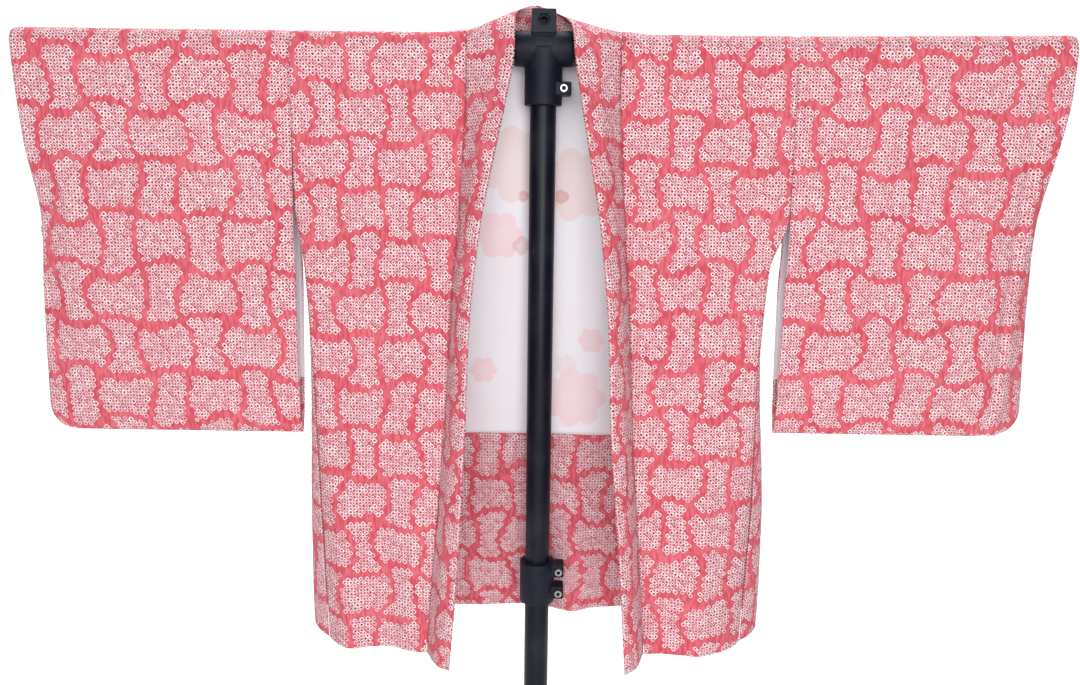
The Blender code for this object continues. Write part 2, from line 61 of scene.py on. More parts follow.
# %% Sizes from the frame
bar_low, bar_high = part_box("cross_bar")
BAR_Z = (bar_low.z + bar_high.z) / 2
BAR_RADIUS = (bar_high.z - bar_low.z) / 2
pole_low, pole_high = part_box("upper_pole")
POLE_RADIUS = (pole_high.x - pole_low.x) / 2
print("bar axis at", round(BAR_Z, 4), "pole radius", round(POLE_RADIUS, 4))

# %% How the jacket hangs
DRAPE = 0.0168          # inner face of the cloth where it lies over the bar
OVER = math.pi * DRAPE  # length of cloth over the bar
SHOULDER_X, SLEEVE_END_X = 0.302, 0.632
FRONT_DROP, BACK_DROP, NECK_DROP, LINING_DROP = 0.748, 0.734, 0.012, 0.486
SLEEVE_DROP, CUFF_DROP, CORNER = 0.466, 0.208, 0.030
CLOTH, LINING, SEAM = 0.0012, 0.0006, 0.00012

SIDES = {
    "left": dict(sign=-1, armhole=0.200, swing=0.006, forward=0.014, curl=0.002, sag=0.008,
                 sleeve_forward=0.016, short=0.011, tip=-0.004, rise=0.0),
    "right": dict(sign=1, armhole=0.218, swing=0.017, forward=0.000, curl=0.016, sag=0.004,
                  sleeve_forward=0.002, short=0.005, tip=0.001, rise=0.0045),
}
FRONT_SECTIONS = (
    # drop, seam_x, seam_y, side_x, side_y
    (0.000, 0.0920, -0.0168, 0.302, -0.0168),
    (0.063, 0.0925, -0.0210, 0.302, -0.0170),
    (0.121, 0.0955, -0.0270, 0.302, -0.0175),
    (0.200, 0.1000, -0.0350, 0.301, -0.0185),
    (0.297, 0.1070, -0.0440, 0.292, -0.0270),
    (0.456, 0.1155, -0.0550, 0.282, -0.0400),
    (0.600, 0.1260, -0.0640, 0.274, -0.0480),
    (0.748, 0.1380, -0.0700, 0.268, -0.0530),
)
BACK_SECTIONS = (
    # drop, side_x, depth
    (0.000, 0.302, 0.0168),
    (0.120, 0.302, 0.0170),
    (0.200, 0.301, 0.0185),
    (0.300, 0.294, 0.0230),
    (0.456, 0.288, 0.0310),
    (0.600, 0.284, 0.0370),
    (0.734, 0.282, 0.0400),
)
FRONT_FOLDS = {
    # x at the hem, half width, height, drop where it starts
    "left": ((0.185, 0.026, -0.010, 0.40), (0.236, 0.020, 0.006, 0.45)),
    "right": ((0.205, 0.034, 0.011, 0.35),),
}
BACK_FOLDS = (
    (0.046, 0.024, -0.016, 0.45),
    (-0.030, 0.030, 0.005, 0.40),
    (0.180, 0.040, 0.008, 0.35),
    (-0.190, 0.036, 0.009, 0.30),
)
SLEEVE_EDGES = (
    # drop, left pulled in, right pulled in
    (0.000, -0.002, 0.0035),
    (0.063, 0.000, 0.005),
    (0.134, 0.005, 0.015),
    (0.200, 0.012, 0.021),
    (0.300, 0.010, 0.017),
    (0.466, 0.009, 0.010),
)
SLEEVE_DEPTHS = (
    # drop, half the sleeve's thickness
    (0.000, 0.0168), (0.100, 0.0172), (0.200, 0.0180), (0.330, 0.0165), (0.410, 0.0115),
    (0.450, 0.0060), (0.466, 0.0000),
)
NECK_PUSH, NECK_REACH = 0.0150, 0.060
print("the jacket hangs", FRONT_DROP, "m in front and", BACK_DROP, "m behind")


# %% Reading a table smoothly
def smooth(table, column):
    """A smooth reading of one column of a table, as a function of the first one."""
    keys = np.array([row[0] for row in table])
    values = np.array([row[column] for row in table])
    slopes = np.gradient(values, keys)

    def read(at):
        at = np.clip(at, keys[0], keys[-1])
        i = np.clip(np.searchsorted(keys, at, side="right") - 1, 0, len(keys) - 2)
        step = keys[i + 1] - keys[i]
        t = (at - keys[i]) / step
        rise = t * t * (3 - 2 * t)
        return (values[i] * (1 - rise) + values[i + 1] * rise
                + step * (slopes[i] * t * (1 - t) ** 2 - slopes[i + 1] * t * t * (1 - t)))

    return read


def ramp(value, start, end):
    """0 before start and 1 after end, smooth between them."""
    share = np.clip((value - start) / (end - start), 0, 1)
    return share * share * (3 - 2 * share)


print("tables read, for example the collar seam at drop 0.3:", smooth(FRONT_SECTIONS, 1)(0.3))

# %% [markdown]
# ## The cloth's own coordinates
# Cloth is cut flat, and its pattern belongs to the flat piece. So each piece is described by
# two lengths in metres, one across the cloth and one along it, and a function says where each
# point of the flat piece hangs. The same two lengths become the UV map, and the pattern then
# has its true size everywhere.
#
# Each knot stands up as a small peak. The mesh has one row of points for each half step of
# the knots' lattice, so that every knot has a point at its tip and four hollows round it.

# %% The lattice of knots
KNOT = 0.00380          # half the distance between knots across the cloth
PEAK, HOLLOW = 0.00045, -0.00030
HOLLOW_EDGE = 0.002     # the hollows fade over this distance each side of a cell's edge
print("knots lie", round(2000 * KNOT, 1), "mm apart and stand up", 1000 * PEAK, "mm")


# %% [markdown]
# The cells are called fundo, after the waisted weights of old scales. Every other cell is
# wide and its neighbours are tall, like a checkerboard whose lines are waves. Bending the
# coordinates by products of sines gives just that, and a few slow waves more make it look
# drawn by hand.

# %% The figure of cells and bands
BULGE, DIP, BAND = 0.0105, 0.0085, 0.0098
# The sleeves' cloth has wider cells than the body's: two cells across, and one along.
STYLES = {"sleeve": (0.1090, 0.0634), "body": (0.0930, 0.0596)}
WAVES = (
    # axis moved, size, cycles per metre across, along, phase
    ("across", 0.0036, 3.1, 7.3, 0.4),
    ("across", 0.0024, 9.7, 11.9, 2.1),
    ("along", 0.0034, 6.7, 2.9, 1.1),
    ("along", 0.0022, 12.3, 8.1, 4.0),
)


def figure(u, v, style):
    """How far inside a cell each point is, in metres: negative on the plain bands."""
    repeat, row = STYLES[style]
    moved = {"across": u, "along": v}
    for axis, size, across, along, phase in WAVES:
        moved[axis] = moved[axis] + size * np.sin(2 * math.pi * (across * u + along * v) + phase)
    x, y = moved["across"], moved["along"]
    turn_x, turn_y = 2 * math.pi * x / repeat, math.pi * y / row
    across = (x - BULGE * np.sin(turn_y) * np.sin(turn_x)) / (repeat / 2) - 0.5
    along = (y - DIP * np.cos(turn_y) * np.cos(turn_x)) / row
    to_side = np.abs(across - np.round(across)) * repeat / 2
    to_row = np.abs(along - np.round(along)) * row
    return np.minimum(to_side, to_row) - BAND / 2


def knot_height(tip, tied):
    """Peaks at the tips of the tied knots, and hollows between them."""
    return np.where(tip, PEAK * (tied > 0), HOLLOW * ramp(tied, -HOLLOW_EDGE, HOLLOW_EDGE))


for style in STYLES:
    sample = figure(*np.meshgrid(np.linspace(0, 1, 400), np.linspace(0, 1, 400)), style)
    print(style, "cloth is tied over a share of", float((sample > 0).mean().round(2)))


# %% Where each piece was cut from its bolt
SHIFTS = {
    # half steps of the lattice across and along, whose sum is even
    "body_left": (8, 20), "body_right": (77, 263),
    "sleeve_left": (79, 97), "sleeve_right": (134, 180),
    "gusset_left": (38, 16), "gusset_right": (51, 27),
    "collar": (44, 10), "hem_facing": (17, 59),
}
assert all((across + along) % 2 == 0 for across, along in SHIFTS.values())
print("pieces cut from the bolt:", ", ".join(SHIFTS))


# %% A sheet of cloth from a rule
TINY = 0.0004           # the step by which a sheet's slope is measured
SEAM_DIP = 0.0026       # how far from a seam the cloth dips toward it


def cloth_sheet(name, place, across, along, limits, style="body", shift=(0, 0), sewn=0.0,
                thickness=CLOTH, lift=CLOTH, step=KNOT):
    """A thin shell. place(u, v) gives the points of the hanging cloth's inner face, and its
    outer side is where u runs left to right and v upwards. limits(v) gives the lowest and
    highest u of each row, lift is how far the outer face stands off the inner one, shift
    moves the pattern on the cloth by half steps of the lattice whose sum is even, and sewn
    says how deep the sides dip into their seams. Cloth of no style is plain."""
    columns = np.arange(math.floor(across[0] / step), math.ceil(across[1] / step) + 1)
    rows = np.arange(math.floor(along[0] / step), math.ceil(along[1] / step) + 1)
    u, v = np.meshgrid(columns * step, np.clip(rows * step, *along))
    low, high = limits(v)
    u = np.clip(u, low, high)
    # Small steps to each side give the outward direction.
    side = place(np.clip(u + TINY, low, high), v) - place(np.clip(u - TINY, low, high), v)
    up = place(u, np.clip(v + TINY, *along)) - place(u, np.clip(v - TINY, *along))
    normal = np.cross(side, up)
    normal /= np.maximum(np.linalg.norm(normal, axis=-1, keepdims=True), 1e-15)
    height = lift - sewn * sum(np.exp(-(gap / SEAM_DIP) ** 2) for gap in (u - low, high - u))
    bolt_u, bolt_v = u + shift[0] * step, v + shift[1] * step
    if style:
        tip = (columns[None, :] + rows[:, None]) % 2 == 0
        inner = (u > low + 0.5 * step) & (u < high - 0.5 * step)
        height = height + knot_height(tip, figure(bolt_u, bolt_v, style)) * inner
    points = place(u, v) + normal * height[..., None]
    # Points that the limits pushed together become one.
    number = np.arange(u.size).reshape(u.shape)
    for i in range(1, len(columns)):
        number[:, i] = np.where(u[:, i] - u[:, i - 1] < 1e-7, number[:, i - 1], number[:, i])
    return shell_from(name, points, number, np.stack([bolt_u, bolt_v], -1), thickness)


# %% A shell over a grid of points
def placed(name, data):
    """A new object that shows this data in the scene."""
    made = bpy.data.objects.new(name, data)
    bpy.context.scene.collection.objects.link(made)
    return made


def shell_from(name, points, number, flat, thickness):
    """A shell over a grid of numbered points, with its flat coordinates as the UV map."""
    points, flat = points.reshape(-1, 3), flat.reshape(-1, 2)
    corners = np.stack([number[:-1, :-1], number[:-1, 1:], number[1:, 1:], number[1:, :-1]], -1)
    faces = []
    for quad in corners.reshape(-1, 4).tolist():
        face = [p for k, p in enumerate(quad) if p != quad[k - 1]]
        if len(set(face)) > 2:
            faces.append(face)
    used = sorted({p for face in faces for p in face})
    place_of = {p: k for k, p in enumerate(used)}
    faces = [[place_of[p] for p in face] for face in faces]
    mesh = bpy.data.meshes.new(name)
    mesh.from_pydata(points[used].tolist(), [], faces)
    layer = mesh.uv_layers.new(name="cloth")
    loops = np.empty(len(mesh.loops), dtype=np.int64)
    mesh.loops.foreach_get("vertex_index", loops)
    layer.uv.foreach_set("vector", flat[used][loops].astype(np.float32).ravel())
    shape = bmesh.new()
    shape.from_mesh(mesh)
    bmesh.ops.remove_doubles(shape, verts=shape.verts, dist=0.00002)
    bmesh.ops.dissolve_degenerate(shape, edges=shape.edges, dist=0.00001)
    shape.to_mesh(mesh)
    shape.free()
    mesh.polygons.foreach_set("use_smooth", [True] * len(mesh.polygons))
    made = placed(name, mesh)
    wall = made.modifiers.new("wall", "SOLIDIFY")
    wall.thickness, wall.offset = thickness, -1.0
    print(name, len(mesh.polygons), "faces")
    return made


# %% [markdown]
# ## Body panels
# Each half of the body is one length of cloth: up the front, over the bar and down the back.
# Only the neck is cut away. The centre back and the sides are straight seams.

# %% Creases placed one by one
def crease_height(rows, u, v):
    """Soft ridges and troughs along short lines of the flat cloth."""
    total = np.zeros_like(u)
    for start_u, start_v, end_u, end_v, half_width, height in rows:
        run = np.array([end_u - start_u, end_v - start_v])
        length = np.hypot(*run)
        along = ((u - start_u) * run[0] + (v - start_v) * run[1]) / length
        aside = ((u - start_u) * run[1] - (v - start_v) * run[0]) / length
        fade = ramp(along, 0, 0.35 * length) * (1 - ramp(along, 0.65 * length, length))
        total = total + height * fade * np.exp(-(aside / half_width) ** 2)
    return total


# %% The creases of the body and the sleeves
BODY_CREASES = {
    # start_u, start_v, end_u, end_v, half_width, height
    "left": (
        (-0.118, 0.04, -0.104, 0.72, 0.0040, 0.0009),
        (-0.246, 0.02, -0.276, 0.44, 0.010, 0.0030),
        (-0.205, 0.30, -0.150, 0.66, 0.018, -0.0020),
        (-0.160, -0.08, -0.170, 0.30, 0.014, 0.0030),
        (-0.215, -0.06, -0.222, 0.22, 0.012, -0.0030),
        (-0.290, 0.52, -0.240, 0.66, 0.012, 0.0020),
        (-0.060, 0.90, -0.080, 1.45, 0.020, 0.0030),
        (-0.230, 0.86, -0.200, 1.30, 0.022, -0.0030),
        (-0.140, 1.10, -0.150, 1.62, 0.016, -0.0040),
        (-0.250, 1.20, -0.250, 1.60, 0.014, 0.0030),
    ),
    "right": (
        (0.122, 0.04, 0.106, 0.72, 0.0040, 0.0009),
        (0.250, 0.02, 0.274, 0.42, 0.010, 0.0030),
        (0.150, -0.06, 0.176, 0.42, 0.014, -0.0032),
        (0.236, 0.40, 0.190, 0.70, 0.018, 0.0020),
        (0.205, -0.08, 0.212, 0.30, 0.012, 0.0034),
        (0.292, 0.52, 0.246, 0.65, 0.012, 0.0024),
        (0.080, 0.88, 0.064, 1.40, 0.018, -0.0030),
        (0.220, 0.92, 0.240, 1.42, 0.020, 0.0030),
        (0.110, 1.15, 0.116, 1.62, 0.015, 0.0040),
        (0.252, 1.20, 0.250, 1.60, 0.014, -0.0030),
    ),
}
SLEEVE_CREASES = {
    "left": (
        (-0.600, 0.00, -0.612, 0.34, 0.010, -0.0034),
        (-0.326, 0.02, -0.316, 0.30, 0.009, 0.0030),
        (-0.560, 0.02, -0.420, 0.06, 0.008, 0.0024),
        (-0.420, 0.08, -0.500, 0.36, 0.020, 0.0024),
        (-0.570, 0.10, -0.575, 0.36, 0.012, 0.0026),
        (-0.380, 0.00, -0.372, 0.20, 0.012, -0.0024),
        (-0.590, 0.56, -0.560, 0.95, 0.016, 0.0034),
        (-0.400, 0.62, -0.360, 0.90, 0.018, -0.0030),
    ),
    "right": (
        (0.562, -0.18, 0.598, 0.56, 0.0045, -0.0042),
        (0.576, -0.16, 0.610, 0.52, 0.008, 0.0034),
        (0.330, 0.02, 0.322, 0.26, 0.010, -0.0024),
        (0.450, 0.03, 0.520, 0.06, 0.008, 0.0024),
        (0.400, 0.08, 0.460, 0.36, 0.020, -0.0022),
        (0.360, 0.00, 0.352, 0.22, 0.012, 0.0026),
        (0.570, 0.58, 0.600, 0.92, 0.016, 0.0036),
        (0.380, 0.66, 0.420, 0.94, 0.018, -0.0030),
    ),
}
for piece, sides in (("body", BODY_CREASES), ("sleeve", SLEEVE_CREASES)):
    print(piece, "creases:", {side: len(rows) for side, rows in sides.items()})

# %% Where the body panels hang
seam_x, seam_y, side_x, side_y = (smooth(FRONT_SECTIONS, k) for k in (1, 2, 3, 4))
back_x, back_y = smooth(BACK_SECTIONS, 1), smooth(BACK_SECTIONS, 2)
NECK_WIDTHS = (
    # degrees over the bar, from the back
    (0.0, 0.052), (30.0, 0.078), (60.0, 0.089), (90.0, 0.092), (180.0, 0.092),
)
neck_width = smooth(NECK_WIDTHS, 1)
BODY_LENGTH = FRONT_DROP + OVER + BACK_DROP
print("a body panel is", round(BODY_LENGTH, 3), "m long")


def fold_height(folds, x, drop):
    return sum(height * ramp(drop, start, FRONT_DROP) * np.exp(-((x - centre) / width) ** 2)
               for centre, width, height, start in folds)


def swung_in(side, drop):
    """How far the side edge is drawn in below the armhole; most of it is let out again."""
    facts = SIDES[side]
    let_out = 1 - 0.80 * ramp(drop, 0.35, 0.60)
    return facts["swing"] * ramp(drop, facts["armhole"] - 0.02, 0.26) * let_out


def back_depth(x, drop):
    """How far behind the bar's axis the back hangs; the neck is pushed out a little."""
    push = NECK_PUSH * np.exp(-(x / NECK_REACH) ** 2) * np.exp(-drop / 0.30)
    return back_y(drop) + push + fold_height(BACK_FOLDS, x, drop)


def body_parts(v):
    """Drop in front, angle over the bar and drop behind, for a length along the panel."""
    angle = np.clip(math.pi - (v - FRONT_DROP) / DRAPE, 0, math.pi)
    return np.maximum(FRONT_DROP - v, 0), angle, np.maximum(v - FRONT_DROP - OVER, 0)


def body_edges(side):
    """The seam at the collar or the centre back, and the side edge, as distances from x = 0."""
    def edges(v):
        front, angle, back = body_parts(v)
        inner = np.where(v < FRONT_DROP, seam_x(front), neck_width(np.degrees(angle)))
        neckline = neck_width(0.0) * (1 - back / NECK_DROP)
        inner = np.where(back > 0, np.maximum(neckline, SEAM / 2), inner)
        outer = np.where(v < FRONT_DROP, side_x(front) - swung_in(side, front), SHOULDER_X)
        outer = np.where(back > 0, back_x(back) - swung_in(side, back), outer)
        return inner, outer
    return edges


# %% How a body panel lies in the air
def body_place(side):
    """A rule that gives the points of one panel, for a distance x from the middle and a
    length v along the panel from its front hem."""
    facts = SIDES[side]
    edges = body_edges(side)

    def place(x, v):
        front, angle, back = body_parts(v)
        inner, outer = edges(v)
        share = np.clip((x - inner) / (outer - inner), 0, 1)
        y_front = seam_y(front) + (side_y(front) - seam_y(front)) * share
        y_front = y_front - facts["forward"] * ramp(front, 0.20, FRONT_DROP)
        y_front = y_front - fold_height(FRONT_FOLDS[side], x, front)
        # Low down the panel turns round the side of the body before it meets the gusset.
        turned_back = np.clip((share - 0.72) / 0.28, 0, 1) ** 2
        y_front = y_front + 0.020 * ramp(front, 0.30, 0.62) * turned_back
        signed = facts["sign"] * x
        crease = crease_height(BODY_CREASES[side], signed, v)
        push = back_depth(signed, 0.0) - DRAPE
        y_over = DRAPE * np.cos(angle) + push * np.maximum(0, np.cos(angle))
        y_back = back_depth(signed, back)
        on_front, on_back = v < FRONT_DROP, back > 0
        y = np.where(on_front, y_front - crease, np.where(on_back, y_back + crease, y_over))
        # Beside the neck the cloth is drawn up off the bar by the collar.
        drawn = 0.0035 * np.exp(-((x - inner) / 0.020) ** 2)
        z_front, z_over = -front * (1 - facts["short"]), (DRAPE + drawn) * np.sin(angle)
        z = BAR_Z + np.where(on_front, z_front, np.where(on_back, -back, z_over))
        return np.stack([signed, y, z], -1)
    return place


def span(sign, near, far):
    """Two distances from the middle as the lower and the upper x on one side."""
    return (near, far) if sign > 0 else (-far, -near)


def mirrored(place, edges, sign):
    """The same rule with u running left to right on either side of the body."""
    def place_signed(u, v):
        return place(sign * u, v)

    def edges_signed(v):
        return span(sign, *edges(v))
    return place_signed, edges_signed


# %% Make the body panels
cloth = {}
for side, facts in SIDES.items():
    place, edges = mirrored(body_place(side), body_edges(side), facts["sign"])
    cloth[f"body_{side}"] = cloth_sheet(
        f"haori_body_{side}", place, span(facts["sign"], 0.0, SHOULDER_X), (0.0, BODY_LENGTH),
        edges, shift=SHIFTS["body_" + side], sewn=CLOTH)

# %% [markdown]
# ## Side gussets
# A narrow wedge, the machi, joins front and back below the sleeve. It is about two fingers
# wide under the arm and widest at the hem, and it bends round the side of the body.

# %% Make the side gussets
GUSSET_HEM, GUSSET_WIDTH, GUSSET_BULGE = 0.740, 0.115, 0.043
BEFORE, BEHIND = 1.0095, 0.9905     # the front hem hangs a little lower than the back one


def gusset_place(side, top):
    """The gusset spans the panels' side edges in a curve that bulges outwards."""
    facts, panel, edges = SIDES[side], body_place(side), body_edges(side)

    def ends(v):
        drop = GUSSET_HEM - v
        front_v, back_v = FRONT_DROP - drop * BEFORE, FRONT_DROP + OVER + drop * BEHIND
        front, back = (panel(edges(at)[1], at) for at in (front_v, back_v))
        bulge = GUSSET_BULGE * ramp(drop, facts["armhole"], FRONT_DROP)
        middle = (front + back) / 2
        middle[..., 0] += facts["sign"] * bulge
        return front, middle, back

    def width(v):
        # A curve is about as long as the mean of its chord and of the two lines that shape it.
        front, middle, back = ends(v)
        lengths = [np.linalg.norm(b - a, axis=-1)
                   for a, b in ((front, middle), (middle, back), (front, back))]
        return 0.5 * sum(lengths) * 0.985

    def place(u, v):
        front, middle, back = ends(v)
        t = np.clip(np.abs(u) / width(v), 0, 1)
        t = (0.008 + 0.984 * t)[..., None]
        return front * (1 - t) ** 2 + middle * 2 * t * (1 - t) + back * t * t

    def edges_of(v):
        wide = width(v)
        return span(facts["sign"], np.zeros_like(wide), wide)

    return place, edges_of, GUSSET_HEM - top


for side, facts in SIDES.items():
    place, edges, length = gusset_place(side, facts["armhole"] + 0.004)
    cloth[f"gusset_{side}"] = cloth_sheet(
        f"haori_gusset_{side}", place, span(facts["sign"], 0.0, GUSSET_WIDTH), (0.0, length),
        edges, shift=SHIFTS["gusset_" + side])

# %% [markdown]
# ## Sleeves
# A sleeve is one length folded over the bar. Its bottom is sewn shut, and so is its outer end
# below the cuff, round a small curve. The side next to the body stays open below the armhole.

# %% Where the sleeves hang
sleeve_half = smooth(SLEEVE_DEPTHS, 1)
pulled_in = {"left": smooth(SLEEVE_EDGES, 1), "right": smooth(SLEEVE_EDGES, 2)}
SLEEVE_LENGTH = 2 * SLEEVE_DROP + OVER
print("a sleeve is", round(SLEEVE_LENGTH, 3), "m long")


def corner_cut(past):
    """How much a rounded corner takes off, a share past of the way round it."""
    return CORNER * (1 - np.sqrt(1 - past ** 2))


def sleeve_parts(v):
    """Drop in front, angle over the bar and drop behind, for a length along the sleeve."""
    angle = np.clip(math.pi - (v - SLEEVE_DROP) / DRAPE, 0, math.pi)
    return np.maximum(SLEEVE_DROP - v, 0), angle, np.maximum(v - SLEEVE_DROP - OVER, 0)


def sleeve_edges(side):
    def edges(v):
        front, _, back = sleeve_parts(v)
        drop = np.maximum(front, back)
        inner = SHOULDER_X + SEAM - 0.0035 * ramp(drop, SIDES[side]["armhole"] + 0.01, 0.32)
        outer = SLEEVE_END_X - pulled_in[side](drop)
        past = np.clip((drop - (SLEEVE_DROP - CORNER)) / CORNER, 0, 1)
        return inner, outer - corner_cut(past)
    return edges


def sleeve_place(side):
    facts = SIDES[side]

    def place(x, v):
        front, angle, back = sleeve_parts(v)
        drop = np.maximum(front, back)
        inner = SHOULDER_X + SEAM
        outer = SLEEVE_END_X - pulled_in[side](drop)
        share = np.clip((x - inner) / (outer - inner), 0, 1)
        # How low the rounded bottom lies here, and how near its edge this point is.
        past = np.clip((x - (outer - CORNER)) / CORNER, 0, 1)
        end_drop = SLEEVE_DROP - corner_cut(past)
        depth = sleeve_half(np.minimum(drop * SLEEVE_DROP / end_drop, SLEEVE_DROP))
        shut = ramp(drop, CUFF_DROP - 0.10, CUFF_DROP)
        beyond = np.clip((share - 0.70) / 0.30, 0, 1)
        slack = 1 - 0.45 * ramp(share, 0.8, 1.0) * ramp(drop, 0.0, CUFF_DROP)
        depth = depth * (slack * (1 - shut) + np.sqrt(1 - beyond ** 2) * shut)
        depth = depth + crease_height(SLEEVE_CREASES[side], facts["sign"] * x, v) * (past < 1)
        middle = facts["curl"] * ramp(share, 0.80, 1.0) * ramp(drop, 0.12, 0.34)
        middle = middle - facts["sleeve_forward"] * ramp(drop, 0.05, SLEEVE_DROP)
        over = (front <= 0) & (back <= 0)
        y = np.where(over, DRAPE * np.cos(angle), middle + np.where(front > 0, -depth, depth))
        top = DRAPE + facts["rise"] * share
        z = np.where(over, top * np.sin(angle), -drop - facts["sag"] * (drop / SLEEVE_DROP) ** 2)
        return np.stack([facts["sign"] * x, y, BAR_Z + z], -1)
    return place


# %% Make the sleeves
for side, facts in SIDES.items():
    place, edges = mirrored(sleeve_place(side), sleeve_edges(side), facts["sign"])
    cloth[f"sleeve_{side}"] = cloth_sheet(
        f"haori_sleeve_{side}", place, span(facts["sign"], SHOULDER_X, SLEEVE_END_X),
        (0.0, SLEEVE_LENGTH), edges, "sleeve", SHIFTS["sleeve_" + side], sewn=0.0010)

# %% [markdown]
# ## Collar
# One long strip, folded double, runs up the left front, round the neck and down the right
# front. Its seam is held back by the panels while its folded edge swings free, so it turns
# towards the viewer and rolls over at the fold.

# %% The collar's free edge
COLLAR_EDGE = (
    # drop, left_x, right_x, edge_y
    (0.000, 0.0335, 0.0355, -0.0480),
    (0.063, 0.0425, 0.0445, -0.0620),
    (0.121, 0.0540, 0.0545, -0.0730),
    (0.200, 0.0690, 0.0680, -0.0850),
    (0.297, 0.0800, 0.0785, -0.0980),
    (0.456, 0.0865, 0.0865, -0.1070),
    (0.600, 0.0930, 0.0990, -0.1140),
    (0.748, 0.1040, 0.1100, -0.1200),
)
NECK_EDGE = (
    # angle, left_x, left_rise, right_x, right_rise, edge_y
    (150, 0.0335, 0.013, 0.0350, 0.008, -0.0420),
    (120, 0.0335, 0.025, 0.0340, 0.017, -0.0330),
    (90, 0.0330, 0.035, 0.0325, 0.026, -0.0220),
    (60, 0.0315, 0.043, 0.0280, 0.034, -0.0060),
    (30, 0.0280, 0.048, 0.0215, 0.041, 0.0100),
    (0, 0.0200, 0.052, 0.0080, 0.048, 0.0210),
)
NECK_EDGE_BACK = (-0.0080, 0.0240, 0.054)
COLLAR_FOLD = 0.0012    # half the distance between the collar's two layers
COLLAR_WALL = 0.0009
COLLAR_STEPS = 16       # rows of knots across one layer


def collar_half(side, samples=1500):
    """Seam and free edge of one half, from the hem to the centre back."""
    sign = SIDES[side]["sign"]
    v = np.linspace(0, FRONT_DROP + OVER + NECK_DROP, samples)
    seam = body_place(side)(body_edges(side)(v)[0], v)
    seam[:, 0] -= sign * SEAM
    rows = []
    for drop, left_x, right_x, y in reversed(COLLAR_EDGE):
        x = left_x if sign < 0 else right_x
        y -= SIDES[side]["forward"] * float(ramp(drop, 0.20, FRONT_DROP))
        low = SIDES[side]["tip"] if drop == FRONT_DROP else 0.0
        rows.append((FRONT_DROP - drop, sign * x, y,
                     BAR_Z - drop * (1 - SIDES[side]["short"]) - low))
    for angle, left_x, left_rise, right_x, right_rise, y in NECK_EDGE:
        x, rise = (left_x, left_rise) if sign < 0 else (right_x, right_rise)
        rows.append((FRONT_DROP + DRAPE * math.radians(180 - angle), sign * x, y, BAR_Z + rise))
    x, y, rise = NECK_EDGE_BACK
    rows.append((FRONT_DROP + OVER + NECK_DROP, x, y, BAR_Z + rise))
    edge = np.stack([smooth(rows, k)(v) for k in (1, 2, 3)], -1)
    return seam, edge


def collar_lines():
    """Distances along the collar, and its seam and free edge at each of them."""
    halves = [collar_half(side) for side in ("left", "right")]
    seam, edge = (np.concatenate([left, right[::-1][1:]]) for left, right in zip(*halves))
    # Both are read at the same shares of the middle line, so rows run straight across.
    steps = np.linalg.norm(np.diff((seam + edge) / 2, axis=0), axis=1)
    run = np.concatenate([[0], np.cumsum(steps)])
    at = np.linspace(0, run[-1], int(round(run[-1] / KNOT)) + 1)
    return at, *(np.stack([np.interp(at, run, line[:, k]) for k in range(3)], -1)
                 for line in (seam, edge))


# %% Make the collar
def make_collar():
    at, seam, edge = collar_lines()
    length, rows = at[-1], np.arange(len(at))
    out = edge - seam
    width = np.linalg.norm(out, axis=1, keepdims=True)
    outer = np.cross(out / width, np.gradient(seam + edge, axis=0))
    outer /= np.linalg.norm(outer, axis=1, keepdims=True)
    # The two layers close on each other at the hems, and the neck is the flattest part.
    gap = COLLAR_FOLD * (0.25 + 0.75 * ramp(np.minimum(at, length - at), 0.0, 0.02))
    bow = 0.0020 + 0.0045 * ramp(np.abs(at - length / 2), 0.10, 0.24)
    last = 2 * COLLAR_STEPS
    points, flat = [], []
    for i in range(last + 1):
        t = min(i, last - i) / COLLAR_STEPS
        layer = (i < COLLAR_STEPS) - (i > COLLAR_STEPS)
        swell = np.sin(math.pi * t ** 1.5) * bow
        # The fold is round: the last step closes in on the middle of the two layers.
        spread = gap * layer * math.sqrt(max(0.0, 1 - max(0.0, (t - 0.93) / 0.07) ** 2))
        u, v = np.full(len(at), i) * KNOT, rows * KNOT
        u, v = u + SHIFTS["collar"][0] * KNOT, v + SHIFTS["collar"][1] * KNOT
        height = knot_height((rows + i) % 2 == 0, figure(u, v, "body"))
        height = height * (0 < i < last) * (1 if layer >= 0 else -1)
        centre = seam + out * t + outer * (swell - COLLAR_FOLD)[:, None]
        points.append(centre + outer * (spread + height)[:, None])
        flat.append(np.stack([u, v], -1))
    number = np.arange(len(at) * (last + 1)).reshape(len(at), last + 1)
    made = shell_from("haori_collar", np.stack(points, 1), number, np.stack(flat, 1), COLLAR_WALL)
    return made, length


cloth["collar"], collar_length = make_collar()
print("collar length", round(collar_length, 3))

# %% [markdown]
# ## Lining and hem facing
# The back is lined with thin pale silk down to a seam, and below it the jacket's own cloth
# is turned up inside. Each sleeve is lined too, which shows in the open slit beside the body.

# %% Where the lining hangs
INSIDE = 0.0010 + LINING    # how far inside the outer cloth the lining's face lies
TURNED_IN = 0.003           # the lining stops short of the side seams
LINING_STEP = 0.006
SLEEVE_HEM = 0.066          # the outer cloth is turned up this far inside the sleeves
SLEEVE_LINING_X = 0.592     # and from here outwards at the cuff


def back_place(start):
    """Both halves of the back as one sheet: u across, v up from start above the hem."""
    panels = {side: body_place(side) for side in SIDES}

    def place(u, v):
        length = BODY_LENGTH - v - start
        left, right = panels["left"](-u, length), panels["right"](u, length)
        return np.where((u < 0)[..., None], left, right)
    return place


def back_edges(start):
    def edges(v):
        length = BODY_LENGTH - v - start
        left, right = (body_edges(side)(length)[1] - TURNED_IN for side in ("left", "right"))
        return -left, right
    return edges


